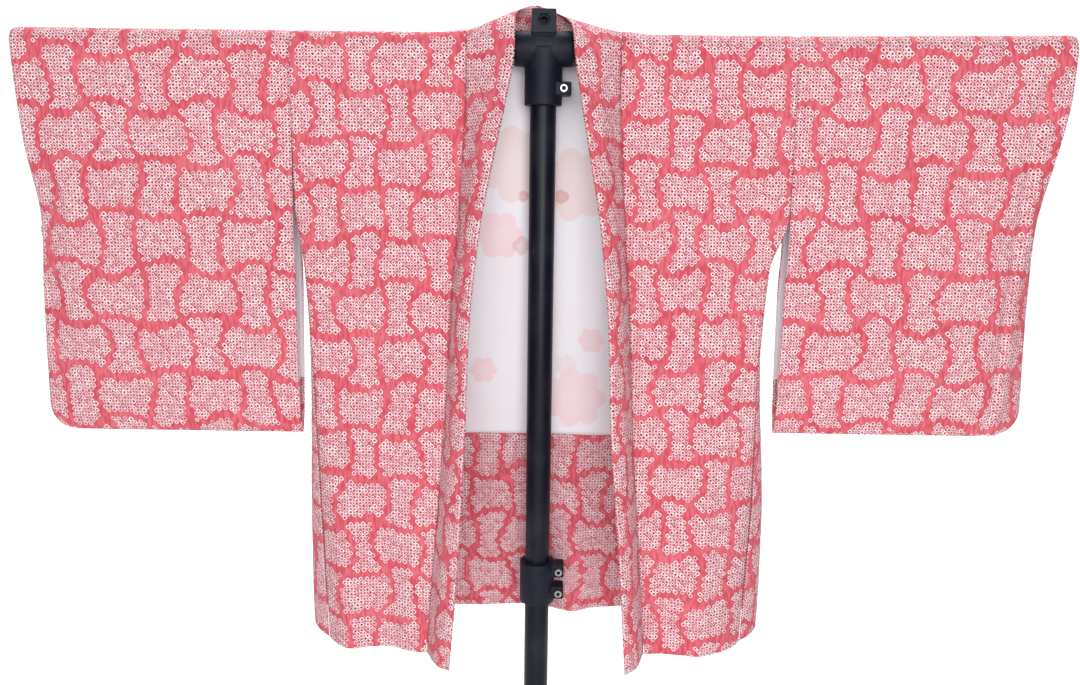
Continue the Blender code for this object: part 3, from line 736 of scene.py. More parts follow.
def turned_round(place, edges):
    """The inside of a sheet: u runs the other way, so that the outer side faces inwards."""
    def place_inside(u, v):
        return place(-u, v)

    def edges_inside(v):
        low, high = edges(v)
        return -high, -low
    return place_inside, edges_inside


# %% Make the lining and the facing
def lining_sheet(name, place, reach, height, edges):
    return cloth_sheet(name, place, reach, (0.0, height), edges, style=None, lift=INSIDE,
                       thickness=LINING, step=LINING_STEP)


# Both sheets of the back face forwards, so their u already runs left to right.
facing_height = BACK_DROP - LINING_DROP
cloth["hem_facing"] = cloth_sheet(
    "haori_hem_facing", back_place(0.0), (-0.290, 0.290), (0.0, facing_height - SEAM),
    back_edges(0.0), shift=SHIFTS["hem_facing"], lift=INSIDE)
lining_height = LINING_DROP - NECK_DROP - 0.004
lining = {"lining_back": lining_sheet("haori_lining_back", back_place(facing_height),
                                      (-0.300, 0.300), lining_height,
                                      back_edges(facing_height))}
for side, facts in SIDES.items():
    whole, whole_edges = sleeve_place(side), sleeve_edges(side)

    def place(x, v, whole=whole):
        return whole(x, v + SLEEVE_HEM)

    def edges(v, whole_edges=whole_edges):
        inner, outer = whole_edges(v + SLEEVE_HEM)
        return inner + TURNED_IN / 2, np.minimum(outer, SLEEVE_LINING_X)
    place, edges = turned_round(*mirrored(place, edges, facts["sign"]))
    lining[f"sleeve_lining_{side}"] = lining_sheet(
        f"haori_sleeve_lining_{side}", place, span(-facts["sign"], 0.300, 0.600),
        SLEEVE_LENGTH - 2 * SLEEVE_HEM, edges)

# %% [markdown]
# ## Writing node trees as sums
# The pattern needs more maths nodes than anyone would like to place by hand. A small class
# lets the script write them as ordinary sums: each operation adds one node and its links.

# %% A value in a node tree
class Wire:
    """A value that travels through a node tree."""

    def __init__(self, tree, socket):
        self.tree, self.socket = tree, socket

    def maths(self, operation, *others):
        node = add_node(self.tree, "ShaderNodeMath", enumerate((self, *others)),
                        operation=operation)
        return Wire(self.tree, node.outputs[0])

    def __add__(self, other):
        return self.maths("ADD", other)

    def __sub__(self, other):
        return self.maths("SUBTRACT", other)

    def __mul__(self, other):
        return self.maths("MULTIPLY", other)

    def __truediv__(self, other):
        return self.maths("DIVIDE", other)

    def sine(self):
        return self.maths("SINE")

    def cosine(self):
        return self.maths("COSINE")

    def size(self):
        return self.maths("ABSOLUTE")

    def nearest(self):
        return self.maths("ROUND")

    def least(self, other):
        return self.maths("MINIMUM", other)

    def most(self, other):
        return self.maths("MAXIMUM", other)

    def step(self, start, end):
        """0 below start and 1 above end, smooth between them; start may be the higher one."""
        node = add_node(self.tree, "ShaderNodeMapRange",
                        [("Value", self), ("From Min", start), ("From Max", end)],
                        interpolation_type="SMOOTHSTEP")
        return Wire(self.tree, node.outputs["Result"])


# %% A node with its links
def add_node(tree, kind, links=(), **values):
    """A node with its inputs linked or set, each by its name or number."""
    node = tree.nodes.new(kind)
    for name, value in values.items():
        setattr(node, name, value)
    for name, value in links:
        source = value.socket if isinstance(value, Wire) else value
        if isinstance(source, bpy.types.NodeSocket):
            tree.links.new(source, node.inputs[name])
        else:
            node.inputs[name].default_value = source
    return node


# %% Groups, colours and the nodes that come back often
SOCKETS = {"vector": "NodeSocketVector", "value": "NodeSocketFloat",
           "geometry": "NodeSocketGeometry", "object": "NodeSocketObject",
           "material": "NodeSocketMaterial"}


def new_group(name, inputs, outputs, family="ShaderNodeTree"):
    """A node group with named sockets, and its two end nodes."""
    tree = bpy.data.node_groups.new(name, family)
    for direction, sockets in (("INPUT", inputs), ("OUTPUT", outputs)):
        for label, kind, *default in sockets:
            made = tree.interface.new_socket(label, in_out=direction, socket_type=SOCKETS[kind])
            if default:
                made.default_value = default[0]
    return tree, tree.nodes.new("NodeGroupInput"), tree.nodes.new("NodeGroupOutput")


def tint(red, green, blue):
    """A colour given in 0 to 255, as the linear values that shaders use."""
    shares = [c / 255 for c in (red, green, blue)]
    return (*[c / 12.92 if c <= 0.04045 else ((c + 0.055) / 1.055) ** 2.4 for c in shares], 1.0)


def noise(tree, place, scale, detail=2.0, **more):
    """A noise texture; more gives the rest of its settings, as Roughness=0.65."""
    node = add_node(tree, "ShaderNodeTexNoise", [("Vector", place), ("Scale", scale),
                                                 ("Detail", detail), *more.items()])
    return Wire(tree, node.outputs["Fac"])


def stretched(tree, place, scale):
    """The same place in a space that is stretched by 1 / scale."""
    return add_node(tree, "ShaderNodeMapping", [("Vector", place), ("Scale", scale)]).outputs[0]


def across_and_along(tree, place):
    split = add_node(tree, "ShaderNodeSeparateXYZ", [("Vector", place)])
    return Wire(tree, split.outputs["X"]), Wire(tree, split.outputs["Y"])


def bumped(tree, shader, height, strength, distance):
    bump = add_node(tree, "ShaderNodeBump", [("Height", height), ("Strength", strength),
                                             ("Distance", distance)])
    tree.links.new(bump.outputs["Normal"], shader.inputs["Normal"])


def mix(tree, share, first, second):
    """A colour mix; share, first and second are wires, sockets or colours."""
    return add_node(tree, "ShaderNodeMix", [(0, share), (6, first), (7, second)],
                    data_type="RGBA").outputs[2]


def ended(tree, end, **results):
    """Each result goes to the end node's socket of that name."""
    for name, value in results.items():
        tree.links.new(value.socket, end.inputs[name])
    return tree


print("a middle grey is", round(tint(128, 128, 128)[0], 3), "in linear values")


# %% [markdown]
# ## The knots as a shader group
# The group finds the nearest knot, asks the figure whether that knot was tied, and draws its
# ring and eye. Asking at the knot's centre leaves every ring whole, which gives the cells
# their stepped edges. The group gives masks, and each material then mixes its own colours.

# %% Shader group: kanoko knots
SWAY, SMALLEST, SPREAD = 0.22, 0.86, 0.30   # how knots stray from the lattice and in size
NARROW, WIDE = 1.07, 0.98                   # rings touch along one diagonal only
ROUND, SQUARE = 0.62, 0.42                  # a ring is part circle, part square
SOFT = 0.13                                 # dye creeps along the silk and softens the edges
RAGGED = 0.0016                             # how unevenly a cell's edge was tied


def kanoko_group():
    tree, start, end = new_group(
        "kanoko knots", [("Cloth", "vector"), ("Repeat", "value", 0.1), ("Row", "value", 0.06),
                         ("Ring size", "value", 0.475), ("Eye size", "value", 0.235)],
        [(label, "value") for label in ("Ring", "Eye", "Tied", "Height", "Chance")])
    repeat, row, ring_size, eye_size = (
        Wire(tree, start.outputs[label]) for label in ("Repeat", "Row", "Ring size", "Eye size"))
    u, v = across_and_along(tree, start.outputs["Cloth"])
    # The lattice lies at 45 degrees, so its steps are sums and differences.
    a, b = (u + v) * (0.5 / KNOT), (u - v) * (0.5 / KNOT)
    knot_a, knot_b = a.nearest(), b.nearest()
    address = add_node(tree, "ShaderNodeCombineXYZ", [("X", knot_a), ("Y", knot_b)])
    dice = add_node(tree, "ShaderNodeTexWhiteNoise", [("Vector", address.outputs[0])],
                    noise_dimensions="3D")
    chance = Wire(tree, dice.outputs["Value"])
    parts = add_node(tree, "ShaderNodeSeparateColor", [("Color", dice.outputs["Color"])])
    swing_a, swing_b, grow = (Wire(tree, parts.outputs[k]) for k in range(3))
    off_a = (a - knot_a + (swing_a - 0.5) * SWAY).size() * NARROW
    off_b = (b - knot_b + (swing_b - 0.5) * SWAY).size() * WIDE
    circle = (off_a * off_a + off_b * off_b).maths("SQRT")
    away = (circle * ROUND + off_a.most(off_b) * SQUARE) * (grow * SPREAD + SMALLEST)
    # The figure, asked at the knot's own centre.
    at_u, at_v = (knot_a + knot_b) * KNOT, (knot_a - knot_b) * KNOT
    moved = {"across": at_u, "along": at_v}
    for axis, size, across, along, phase in WAVES:
        wave = (at_u * (2 * math.pi * across) + at_v * (2 * math.pi * along) + phase).sine()
        moved[axis] = moved[axis] + wave * size
    x, y = moved["across"], moved["along"]
    turn_x, turn_y = x * (2 * math.pi) / repeat, y * math.pi / row
    across = (x - turn_y.sine() * turn_x.sine() * BULGE) * 2 / repeat - 0.5
    along = (y - turn_y.cosine() * turn_x.cosine() * DIP) / row
    to_side = (across - across.nearest()).size() * repeat * 0.5
    to_row = (along - along.nearest()).size() * row
    inside = to_side.least(to_row) - BAND / 2 + (chance - 0.5) * RAGGED
    tied = inside.maths("GREATER_THAN", 0.0)
    eye = away.step(eye_size + SOFT, eye_size - 0.15)
    within = away.step(ring_size + SOFT, ring_size - SOFT)
    ring = within * (eye * -1.0 + 1.0) * tied
    height = away.step(0.55, 0.0) * tied
    return ended(tree, end, Ring=ring, Eye=eye * tied, Tied=tied, Height=height, Chance=chance)


KANOKO = kanoko_group()
print("kanoko group has", len(KANOKO.nodes), "nodes")

# %% [markdown]
# ## Silk crepe ground
# Crepe yarns are twisted hard, so the plain bands are finely pebbled and take the dye a
# little unevenly. A fine noise in the cloth's coordinates gives the pebbling, one stretched
# along the yarns gives short streaks, and a slow one gives the uneven dye.

# %% Shader group: crepe
def crepe_group():
    tree, start, end = new_group(
        "crepe", [("Cloth", "vector"), ("Grain", "value", 900.0)],
        [(label, "value") for label in ("Pebble", "Drift", "Streak")])
    flat = start.outputs["Cloth"]
    pebble = noise(tree, flat, start.outputs["Grain"], 3.0, Roughness=0.65)
    drift = noise(tree, flat, 14.0, 3.0)
    streak = noise(tree, stretched(tree, flat, (1.0, 0.25, 1.0)), 300.0)
    return ended(tree, end, Pebble=pebble, Drift=drift, Streak=streak)


CREPE = crepe_group()
print("crepe group has", len(CREPE.nodes), "nodes")


# %% Starting a material
def new_material(name):
    made = bpy.data.materials.new(name)
    made.use_nodes = True
    return made, made.node_tree, made.node_tree.nodes["Principled BSDF"]


def flat_cloth(tree):
    """The cloth's own coordinates, in metres."""
    return add_node(tree, "ShaderNodeUVMap", uv_map="cloth").outputs["UV"]


def group_wires(tree, group, links, *names):
    """A group placed in a material, and the wires that leave it, in the order of the names."""
    node = add_node(tree, "ShaderNodeGroup", links, node_tree=group)
    return [Wire(tree, node.outputs[name]) for name in names]


def set_inputs(shader, values):
    for name, value in values.items():
        shader.inputs[name].default_value = value


# %% Material: tied and dyed silk
def shibori_material(name, style):
    made, tree, shader = new_material(name)
    flat, (repeat, row) = flat_cloth(tree), STYLES[style]
    ring, eye, tied, height, chance = group_wires(
        tree, KANOKO, [("Cloth", flat), ("Repeat", repeat), ("Row", row)],
        "Ring", "Eye", "Tied", "Height", "Chance")
    pebble, drift, streak = group_wires(tree, CREPE, [("Cloth", flat), ("Grain", 850.0)],
                                        "Pebble", "Drift", "Streak")
    coral = mix(tree, drift.step(0.35, 0.70), tint(205, 84, 98), tint(217, 107, 120))
    coral = mix(tree, (pebble - 0.35) * 0.50, coral, tint(234, 128, 140))
    coral = mix(tree, streak.step(0.42, 0.68) * 0.55, coral, tint(190, 60, 78))
    coral = mix(tree, streak.step(0.56, 0.36) * 0.35, coral, tint(232, 128, 140))
    # Painted shade: inside the tied cells the dyed red between the rings is made darker, for the
    # shade that falls in the hollows between the knots.
    crease = mix(tree, pebble, tint(186, 62, 84), tint(204, 86, 106))
    dyed = mix(tree, tied, coral, crease)
    pale = mix(tree, chance, tint(250, 226, 231), tint(255, 247, 249))
    with_rings = mix(tree, ring * (chance * 0.28 + 0.74), dyed, pale)
    with_eyes = mix(tree, eye, with_rings, tint(122, 16, 36))
    tree.links.new(with_eyes, shader.inputs["Base Color"])
    bumped(tree, shader, height + pebble * 0.04, 0.20, 0.0008)
    set_inputs(shader, {"Roughness": 0.75, "Specular IOR Level": 0.15,
                        "Sheen Weight": 0.04, "Sheen Roughness": 0.40})
    return made


SHIBORI = {"sleeve": shibori_material("shibori_silk", "sleeve"),
           "body": shibori_material("shibori_silk_body", "body")}
print("dyed silks for:", list(SHIBORI))

# %% [markdown]
# ## Lining silk
# The lining is thin, smooth silk, pale grey-lilac with faint blossoms in pink. A blossom is a
# round whose edge goes in and out once for each petal, and it pales toward its heart. A slow
# noise makes the dye a little uneven, and a fine weave roughens the surface.

# %% Material: lining silk
BLOSSOMS = (
    # across, along, radius, petals, depth of colour, dye
    (-0.032, 0.350, 0.048, 7, 0.80, "peach"),
    (0.042, 0.326, 0.046, 7, 0.80, "peach"),
    (-0.054, 0.262, 0.031, 6, 0.80, "pink"),
    (-0.025, 0.249, 0.012, 4, 0.55, "rose"),
    (-0.023, 0.311, 0.007, 3, 0.80, "rose"),
    (0.025, 0.311, 0.009, 3, 0.80, "rose"),
    (-0.074, 0.086, 0.018, 6, 0.80, "pink"),
    (0.066, 0.128, 0.017, 6, 0.80, "pink"),
    (0.046, 0.050, 0.041, 7, 0.70, "pink"),
    (0.034, 0.094, 0.014, 5, 0.60, "peach"),
    (-0.170, 0.310, 0.046, 7, 0.80, "peach"),
    (0.180, 0.210, 0.045, 7, 0.80, "pink"),
    (-0.150, 0.110, 0.030, 6, 0.80, "pink"),
    (0.210, 0.380, 0.026, 6, 0.80, "peach"),
    (-0.235, 0.200, 0.020, 5, 0.70, "rose"),
)
DYES = {"peach": tint(244, 216, 214), "pink": tint(249, 209, 214), "rose": tint(220, 150, 152)}


def blossom(u, v, across, along, radius, petals):
    """How strongly a blossom is dyed at each point: the cosine turns once for two petals."""
    u, v = u - across, v - along
    reach = (u * u + v * v).maths("SQRT")
    lobes = (v.maths("ARCTAN2", u) * (petals / 2)).cosine().size()
    inside = (reach - (lobes * 0.22 + 0.78) * radius).step(0.0018, -0.0018)
    return inside * (reach * (0.35 / radius) + 0.65)


def lining_material():
    made, tree, shader = new_material("lining_silk")
    flat = flat_cloth(tree)
    cloud = noise(tree, flat, 9.0, Distortion=0.6).step(0.45, 0.75)
    weave = noise(tree, flat, 1400.0, 1.0)
    colour = mix(tree, cloud * 0.45, tint(244, 242, 249), tint(248, 222, 228))
    u, v = across_and_along(tree, flat)
    for across, along, radius, petals, depth, dye in BLOSSOMS:
        flower = blossom(u, v, across, along, radius, petals)
        colour = mix(tree, flower * depth, colour, DYES[dye])
    colour = mix(tree, weave * 0.10, colour, tint(250, 246, 250))
    tree.links.new(colour, shader.inputs["Base Color"])
    bumped(tree, shader, weave, 0.15, 0.0003)
    set_inputs(shader, {"Roughness": 0.42, "Sheen Weight": 0.1})
    return made


LINING_SILK = lining_material()
print("lining silk has", len(BLOSSOMS), "blossoms and", len(LINING_SILK.node_tree.nodes), "nodes")

# %% Cloth on the sheets
for node, piece in cloth.items():
    piece.data.materials.append(SHIBORI["sleeve" if "sleeve" in node else "body"])
for piece in lining.values():
    piece.data.materials.append(LINING_SILK)

# %% [markdown]
# ## The stand
# Steel tube with a satin black coat, joined by rough black castings. The castings start as
# joined cylinders and blocks, and a voxel remesh with a little smoothing then gives the
# soft inner corners that a sand mould leaves.

# %% Shader group: scuffs and dust
def wear_group():
    tree, start, end = new_group("wear", [("Place", "vector"), ("Amount", "value", 0.5)],
                                 [(label, "value") for label in ("Scuff", "Dust", "Grain")])
    place, amount = start.outputs["Place"], Wire(tree, start.outputs["Amount"])
    lines = noise(tree, stretched(tree, place, (1.0, 1.0, 0.12)), 260.0, 4.0)
    patches = noise(tree, place, 22.0, 5.0)
    grain = noise(tree, place, 700.0, 3.0)
    scuff = lines.step(0.63, 0.72) * patches.step(0.50, 0.62) * amount
    dust = patches.step(0.42, 0.80) * amount
    return ended(tree, end, Scuff=scuff, Dust=dust, Grain=grain)


WEAR = wear_group()
print("wear group has", len(WEAR.nodes), "nodes")


# %% Materials: coated tube, casting, zinc, cap
def coated(name, colour, worn, roughness, grain_depth, amount, metallic=0.0):
    made, tree, shader = new_material(name)
    place = tree.nodes.new("ShaderNodeTexCoord").outputs["Object"]
    scuff, dust, grain = group_wires(tree, WEAR, [("Place", place), ("Amount", amount)],
                                     "Scuff", "Dust", "Grain")
    dusty = mix(tree, dust * 0.35, colour, worn)
    tree.links.new(mix(tree, scuff, dusty, worn), shader.inputs["Base Color"])
    rough = grain * 0.16 + dust * 0.15 + (roughness - 0.08)
    tree.links.new(rough.socket, shader.inputs["Roughness"])
    bumped(tree, shader, grain, 0.5, grain_depth)
    set_inputs(shader, {"Metallic": metallic, "Specular IOR Level": 0.5 if metallic else 0.22})
    return made


TUBE = coated("black_tube", tint(14, 18, 31), tint(84, 88, 98), 0.36, 0.0001, 0.4)
CASTING = coated("black_casting", tint(15, 22, 37), tint(90, 92, 100), 0.52, 0.0004, 0.6)
ZINC = coated("bright_screw", tint(178, 176, 174), tint(130, 124, 118), 0.34, 0.0001, 0.5, 1.0)
CAP = coated("end_cap", tint(30, 30, 33), tint(70, 70, 74), 0.55, 0.0001, 0.3)
print("a coated finish has", len(TUBE.node_tree.nodes), "nodes")


# %% Round pieces, turned as on a lathe
def mesh_from(name, shape):
    mesh = bpy.data.meshes.new(name)
    shape.to_mesh(mesh)
    shape.free()
    return mesh


def turned(name, profile, skin, axis="Z", centre=(0, 0, 0), steps=72):
    """A closed profile of (radius, height) points spun round an axis."""
    shape = bmesh.new()
    angles = [2 * math.pi * k / steps for k in range(steps)]
    rings = [[shape.verts.new((radius * math.cos(t), radius * math.sin(t), height))
              for t in angles] for radius, height in profile]
    for low, high in zip(rings, rings[1:]):
        for k in range(steps):
            shape.faces.new((low[k], low[(k + 1) % steps], high[(k + 1) % steps], high[k]))
    shape.faces.new(list(reversed(rings[0])))
    shape.faces.new(rings[-1])
    if axis != "Z":
        quarter = Matrix.Rotation(math.radians(90), 3, {"X": "Y", "Y": "X"}[axis])
        bmesh.ops.rotate(shape, matrix=quarter, verts=shape.verts)
    bmesh.ops.translate(shape, vec=Vector(centre), verts=shape.verts)
    bmesh.ops.recalc_face_normals(shape, faces=shape.faces)
    mesh = mesh_from(name, shape)
    made = placed(name, mesh)
    mesh.materials.append(skin)
    mesh.shade_smooth()
    mesh.set_sharp_from_angle(angle=math.radians(32))
    return made


def rounded_rod(radius, low, high, edge):
    """Profile of a rod whose two rims are rounded."""
    turn = [math.radians(a) for a in (0, 30, 60, 90)]
    foot = [(radius - edge + edge * math.sin(t), low + edge - edge * math.cos(t)) for t in turn]
    return foot + [(r, low + high - z) for r, z in reversed(foot)]


def rod_in_place(name, node, skin, axis="Z", edge=0.0008):
    """A round rod that fills a node's box."""
    low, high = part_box(node)
    k = "XYZ".index(axis)
    half = (high[k] - low[k]) / 2
    radius = (high[(k + 1) % 3] - low[(k + 1) % 3]) / 2
    return turned(name, rounded_rod(radius, -half, half, edge), skin, axis, (low + high) / 2)


metal = {node: rod_in_place("stand_" + node, node, *finish) for node, *finish in (
    ("cross_bar", TUBE, "X"), ("upper_pole", TUBE), ("lower_pole", TUBE),
    ("bar_cap_left", CAP, "X", 0.003), ("bar_cap_right", CAP, "X", 0.003))}
print("rods:", list(metal))

# %% Base plate and socket
base_low, base_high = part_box("base_plate")
socket_low, socket_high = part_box("base_socket")
TOP_EDGE, TOP_MIDDLE = 0.0040, 0.0012    # the rounding of an upper rim and its middle point
POLE_BORE = POLE_RADIUS + 0.0006


def round_top(radius, top):
    return [(radius, top - TOP_EDGE), (radius - TOP_MIDDLE, top - TOP_MIDDLE),
            (radius - TOP_EDGE, top)]


plate_x, plate_top = base_high.x, base_high.z - base_low.z
metal["base_plate"] = turned("stand_base_plate", [
    (plate_x - 0.0020, 0.0), (plate_x, 0.0020), *round_top(plate_x, plate_top),
    (0.060, plate_top)], CASTING, steps=144)
metal["base_socket"] = turned("stand_base_socket", [
    (socket_high.x - 0.001, socket_low.z), (socket_high.x, socket_low.z + 0.001),
    *round_top(socket_high.x, socket_high.z),
    (POLE_BORE, socket_high.z), (POLE_BORE, socket_high.z - 0.006)], CASTING)
print("base plate", round(2 * plate_x, 3), "m wide")

# %% Solids for the castings
def cylinder_into(shape, radius, start, end, sides=64, roll=0.0):
    """A round or many-sided rod from start to end, rolled by some degrees about its axis."""
    start, end = Vector(start), Vector(end)
    made = bmesh.ops.create_cone(shape, cap_ends=True, segments=sides, radius1=radius,
                                 radius2=radius, depth=(end - start).length)
    turn = (end - start).to_track_quat("Z", "Y").to_matrix().to_4x4()
    turn = turn @ Matrix.Rotation(math.radians(roll), 4, "Z")
    bmesh.ops.transform(shape, matrix=Matrix.Translation((start + end) / 2) @ turn,
                        verts=made["verts"])


def block_into(shape, low, high):
    low, high = Vector(low), Vector(high)
    made = bmesh.ops.create_cube(shape, size=1.0)
    bmesh.ops.transform(shape, matrix=Matrix.Translation((low + high) / 2)
                        @ Matrix.Diagonal((*(high - low), 1.0)), verts=made["verts"])


def helper_object(name, build):
    shape = bmesh.new()
    build(shape)
    return placed(name, mesh_from(name, shape))


# %% How a casting is made
VOXEL = 0.0009


def applied(obj):
    """The object with its modifiers made permanent."""
    seen = bpy.context.evaluated_depsgraph_get()
    mesh = bpy.data.meshes.new_from_object(obj.evaluated_get(seen))
    obj.modifiers.clear()
    obj.data = mesh
    return obj


def add_boolean(made, operation, other):
    step = made.modifiers.new(operation.lower(), "BOOLEAN")
    step.operation, step.object = operation, other


def cast_piece(name, solids, bores):
    """Solids joined and softened as a casting, then drilled."""
    made = helper_object(name, solids[0])
    others = [helper_object(f"{name}_{k}", build) for k, build in enumerate(solids[1:])]
    for other in others:
        add_boolean(made, "UNION", other)
    remesh = made.modifiers.new("soften", "REMESH")
    remesh.mode, remesh.voxel_size = "VOXEL", VOXEL
    ease = made.modifiers.new("ease", "SMOOTH")
    ease.factor, ease.iterations = 0.5, 5
    applied(made)
    cutters = [helper_object(f"{name}_bore_{k}", build) for k, build in enumerate(bores)]
    for cutter in cutters:
        add_boolean(made, "DIFFERENCE", cutter)
    applied(made)
    for spare in others + cutters:
        bpy.data.objects.remove(spare)
    made.data.materials.clear()
    made.data.materials.append(CASTING)
    made.data.shade_smooth()
    made.data.set_sharp_from_angle(angle=math.radians(38))
    print(name, len(made.data.polygons), "faces")
    return made


# %% Make the castings
SLIDE = 0.0004          # play between a bore and the tube in it
BARREL = 0.0205         # radius of the tee's cross arm
SET_SCREW_Z = BAR_Z + 0.031
EAR_HALF = 0.0085
tee_low, tee_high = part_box("tee_joint")
couple_low, couple_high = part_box("coupling")
LEG = -tee_low.y        # radius of the upright sleeves round the poles
EAR_HEIGHTS = (couple_high.z - 0.0105, couple_low.z + 0.0155)


def on_axis(height, y=0.0):
    return (0, y, height)


def coupling_ear(height):
    return lambda s: block_into(s, (0.012, -0.013, height - EAR_HALF),
                                (couple_high.x, 0.009, height + EAR_HALF))


# The tee is a cross arm, an upright sleeve, a boss for the set screw and an ear for the bolt.
# It is bored for the bar and the pole, and for the screw's six-sided head and its hole.
metal["tee_joint"] = cast_piece("stand_tee_joint", [
    lambda s: cylinder_into(s, BARREL, (tee_low.x, 0, BAR_Z), (-tee_low.x, 0, BAR_Z)),
    lambda s: cylinder_into(s, LEG, on_axis(tee_low.z), on_axis(BAR_Z)),
    lambda s: block_into(s, (-0.0145, -0.0180, BAR_Z + 0.0165), (0.0145, 0.008, tee_high.z)),
    lambda s: block_into(s, (0.010, -0.017, BAR_Z - 0.0545), (0.0335, 0.010, BAR_Z - 0.0386)),
], [
    lambda s: cylinder_into(s, BAR_RADIUS + SLIDE, (-0.05, 0, BAR_Z), (0.05, 0, BAR_Z)),
    lambda s: cylinder_into(s, POLE_RADIUS + SLIDE, on_axis(tee_low.z - 0.01),
                            on_axis(BAR_Z - 0.0175)),
    lambda s: cylinder_into(s, 0.0082, on_axis(SET_SCREW_Z, -0.04),
                            on_axis(SET_SCREW_Z, -0.0105), sides=6, roll=30),
    lambda s: cylinder_into(s, 0.0048, on_axis(SET_SCREW_Z, -0.04),
                            on_axis(SET_SCREW_Z, 0.004), sides=32),
])
metal["coupling"] = cast_piece("stand_coupling", [
    lambda s: cylinder_into(s, LEG, on_axis(couple_low.z), on_axis(couple_high.z)),
    *(coupling_ear(height) for height in EAR_HEIGHTS),
], [
    lambda s: cylinder_into(s, POLE_RADIUS + SLIDE, on_axis(couple_low.z - 0.01),
                            on_axis(couple_high.z + 0.01)),
])

# %% [markdown]
# ## Bolts
# Three like bolts close the castings. One bolt is modelled, and Geometry Nodes put a copy at
# each point of a small mesh that holds only the places of the bolts.

# %% The bolts' node tree
def painted(tree, start, end, copies, output):
    """Copies made into a plain mesh, in the material that the group is given."""
    real = add_node(tree, "GeometryNodeRealizeInstances", [(0, copies.outputs[0])])
    paint = add_node(tree, "GeometryNodeSetMaterial", [("Geometry", real.outputs[0]),
                                                      ("Material", start.outputs["Material"])])
    tree.links.new(paint.outputs[0], end.inputs[output])
    return tree


def scatter_tree(name):
    """Copies of an object at the points of a mesh, each turned about y by chance."""
    tree, start, end = new_group(
        name, [("Places", "geometry"), ("Piece", "object"), ("Material", "material"),
               ("Turn", "value")], [("Pieces", "geometry")], "GeometryNodeTree")
    piece = add_node(tree, "GeometryNodeObjectInfo", [("Object", start.outputs["Piece"])])
    turn = add_node(tree, "FunctionNodeRandomValue", [(3, start.outputs["Turn"]), ("Seed", 4)],
                    data_type="FLOAT")
    angles = add_node(tree, "ShaderNodeCombineXYZ", [("Y", turn.outputs[1])])
    copies = add_node(tree, "GeometryNodeInstanceOnPoints", [
        ("Points", start.outputs["Places"]), ("Instance", piece.outputs["Geometry"]),
        ("Rotation", angles.outputs[0])])
    return painted(tree, start, end, copies, "Pieces")


def grown(name, points, edges, tree, inputs):
    """A plain mesh made by running a node tree on a few points or a path."""
    mesh = bpy.data.meshes.new(name)
    mesh.from_pydata([tuple(p) for p in points], edges, [])
    made = placed(name, mesh)
    step = made.modifiers.new("nodes", "NODES")
    step.node_group = tree
    names = {s.name: s.identifier for s in tree.interface.items_tree if s.in_out == "INPUT"}
    for label, value in inputs.items():
        step[names[label]] = value
    applied(made)
    print(name, len(made.data.polygons), "faces")
    return made


# %% Make the bolts
def one_bolt():
    # Radius and distance along the bolt: head, shank and tip.
    outline = [(0.0004, -0.0046), (0.0042, -0.0046), (0.0048, -0.0041), (0.0050, -0.0034),
               (0.0050, -0.0004), (0.0030, -0.0004), (0.0030, 0.0250), (0.0024, 0.0260),
               (0.0004, 0.0260)]
    made = turned("bolt_pattern", [(r, -y) for r, y in outline], ZINC, "Y", steps=32)
    cut = helper_object("bolt_socket", lambda s: cylinder_into(
        s, 0.0030, on_axis(0, -0.008), on_axis(0, 0.0040), sides=6))
    add_boolean(made, "DIFFERENCE", cut)
    applied(made)
    bpy.data.objects.remove(cut)
    return made


bolt = one_bolt()
bolt_places = [(0.0245, -0.0170, BAR_Z - 0.0466)]
bolt_places += [(0.0280, -0.0130, z) for z in EAR_HEIGHTS]
bolts = grown("stand_bolts", bolt_places, [], scatter_tree("bolts on points"),
              {"Piece": bolt, "Material": ZINC, "Turn": 1.0})
bpy.data.objects.remove(bolt)

# %% [markdown]
# ## Hand stitches
# The lining is slip-stitched by hand. The stitches are tiny, and each is a slim bead laid
# along the seam. Geometry Nodes walk along a path, put a bead every few millimetres and turn
# it to the path's direction, with a little unevenness from a fixed seed.

# %% The stitches' node tree
def stitch_tree():
    tree, start, end = new_group(
        "hand stitches", [("Path", "geometry"), ("Pitch", "value", 0.006),
                          ("Length", "value", 0.0026), ("Thread", "value", 0.0005),
                          ("Sway", "value", 0.2), ("Material", "material")],
        [("Stitches", "geometry")], "GeometryNodeTree")
    length, thread = start.outputs["Length"], start.outputs["Thread"]
    line = add_node(tree, "GeometryNodeMeshToCurve", [("Mesh", start.outputs["Path"])])
    even = add_node(tree, "GeometryNodeResampleCurve", [
        ("Curve", line.outputs[0]), ("Length", start.outputs["Pitch"])], mode="LENGTH")
    tangent = tree.nodes.new("GeometryNodeInputTangent")
    sway = add_node(tree, "FunctionNodeRandomValue", [
        (0, (-1, -1, -1)), (1, (1, 1, 1)), ("Seed", 7)], data_type="FLOAT_VECTOR")
    scaled = add_node(tree, "ShaderNodeVectorMath", [
        (0, sway.outputs[0]), ("Scale", start.outputs["Sway"])], operation="SCALE")
    leaning = add_node(tree, "ShaderNodeVectorMath", [
        (0, tangent.outputs[0]), (1, scaled.outputs[0])], operation="ADD")
    aim = add_node(tree, "FunctionNodeAlignRotationToVector", [("Vector", leaning.outputs[0])],
                   axis="X")
    bead = add_node(tree, "GeometryNodeMeshIcoSphere", [("Radius", 0.5), ("Subdivisions", 1)])
    size = add_node(tree, "ShaderNodeCombineXYZ", [("X", length), ("Y", thread), ("Z", thread)])
    copies = add_node(tree, "GeometryNodeInstanceOnPoints", [
        ("Points", even.outputs[0]), ("Instance", bead.outputs[0]),
        ("Rotation", aim.outputs[0]), ("Scale", size.outputs[0])])
    return painted(tree, start, end, copies, "Stitches")


STITCHES = stitch_tree()
print("stitch tree has", len(STITCHES.nodes), "nodes")

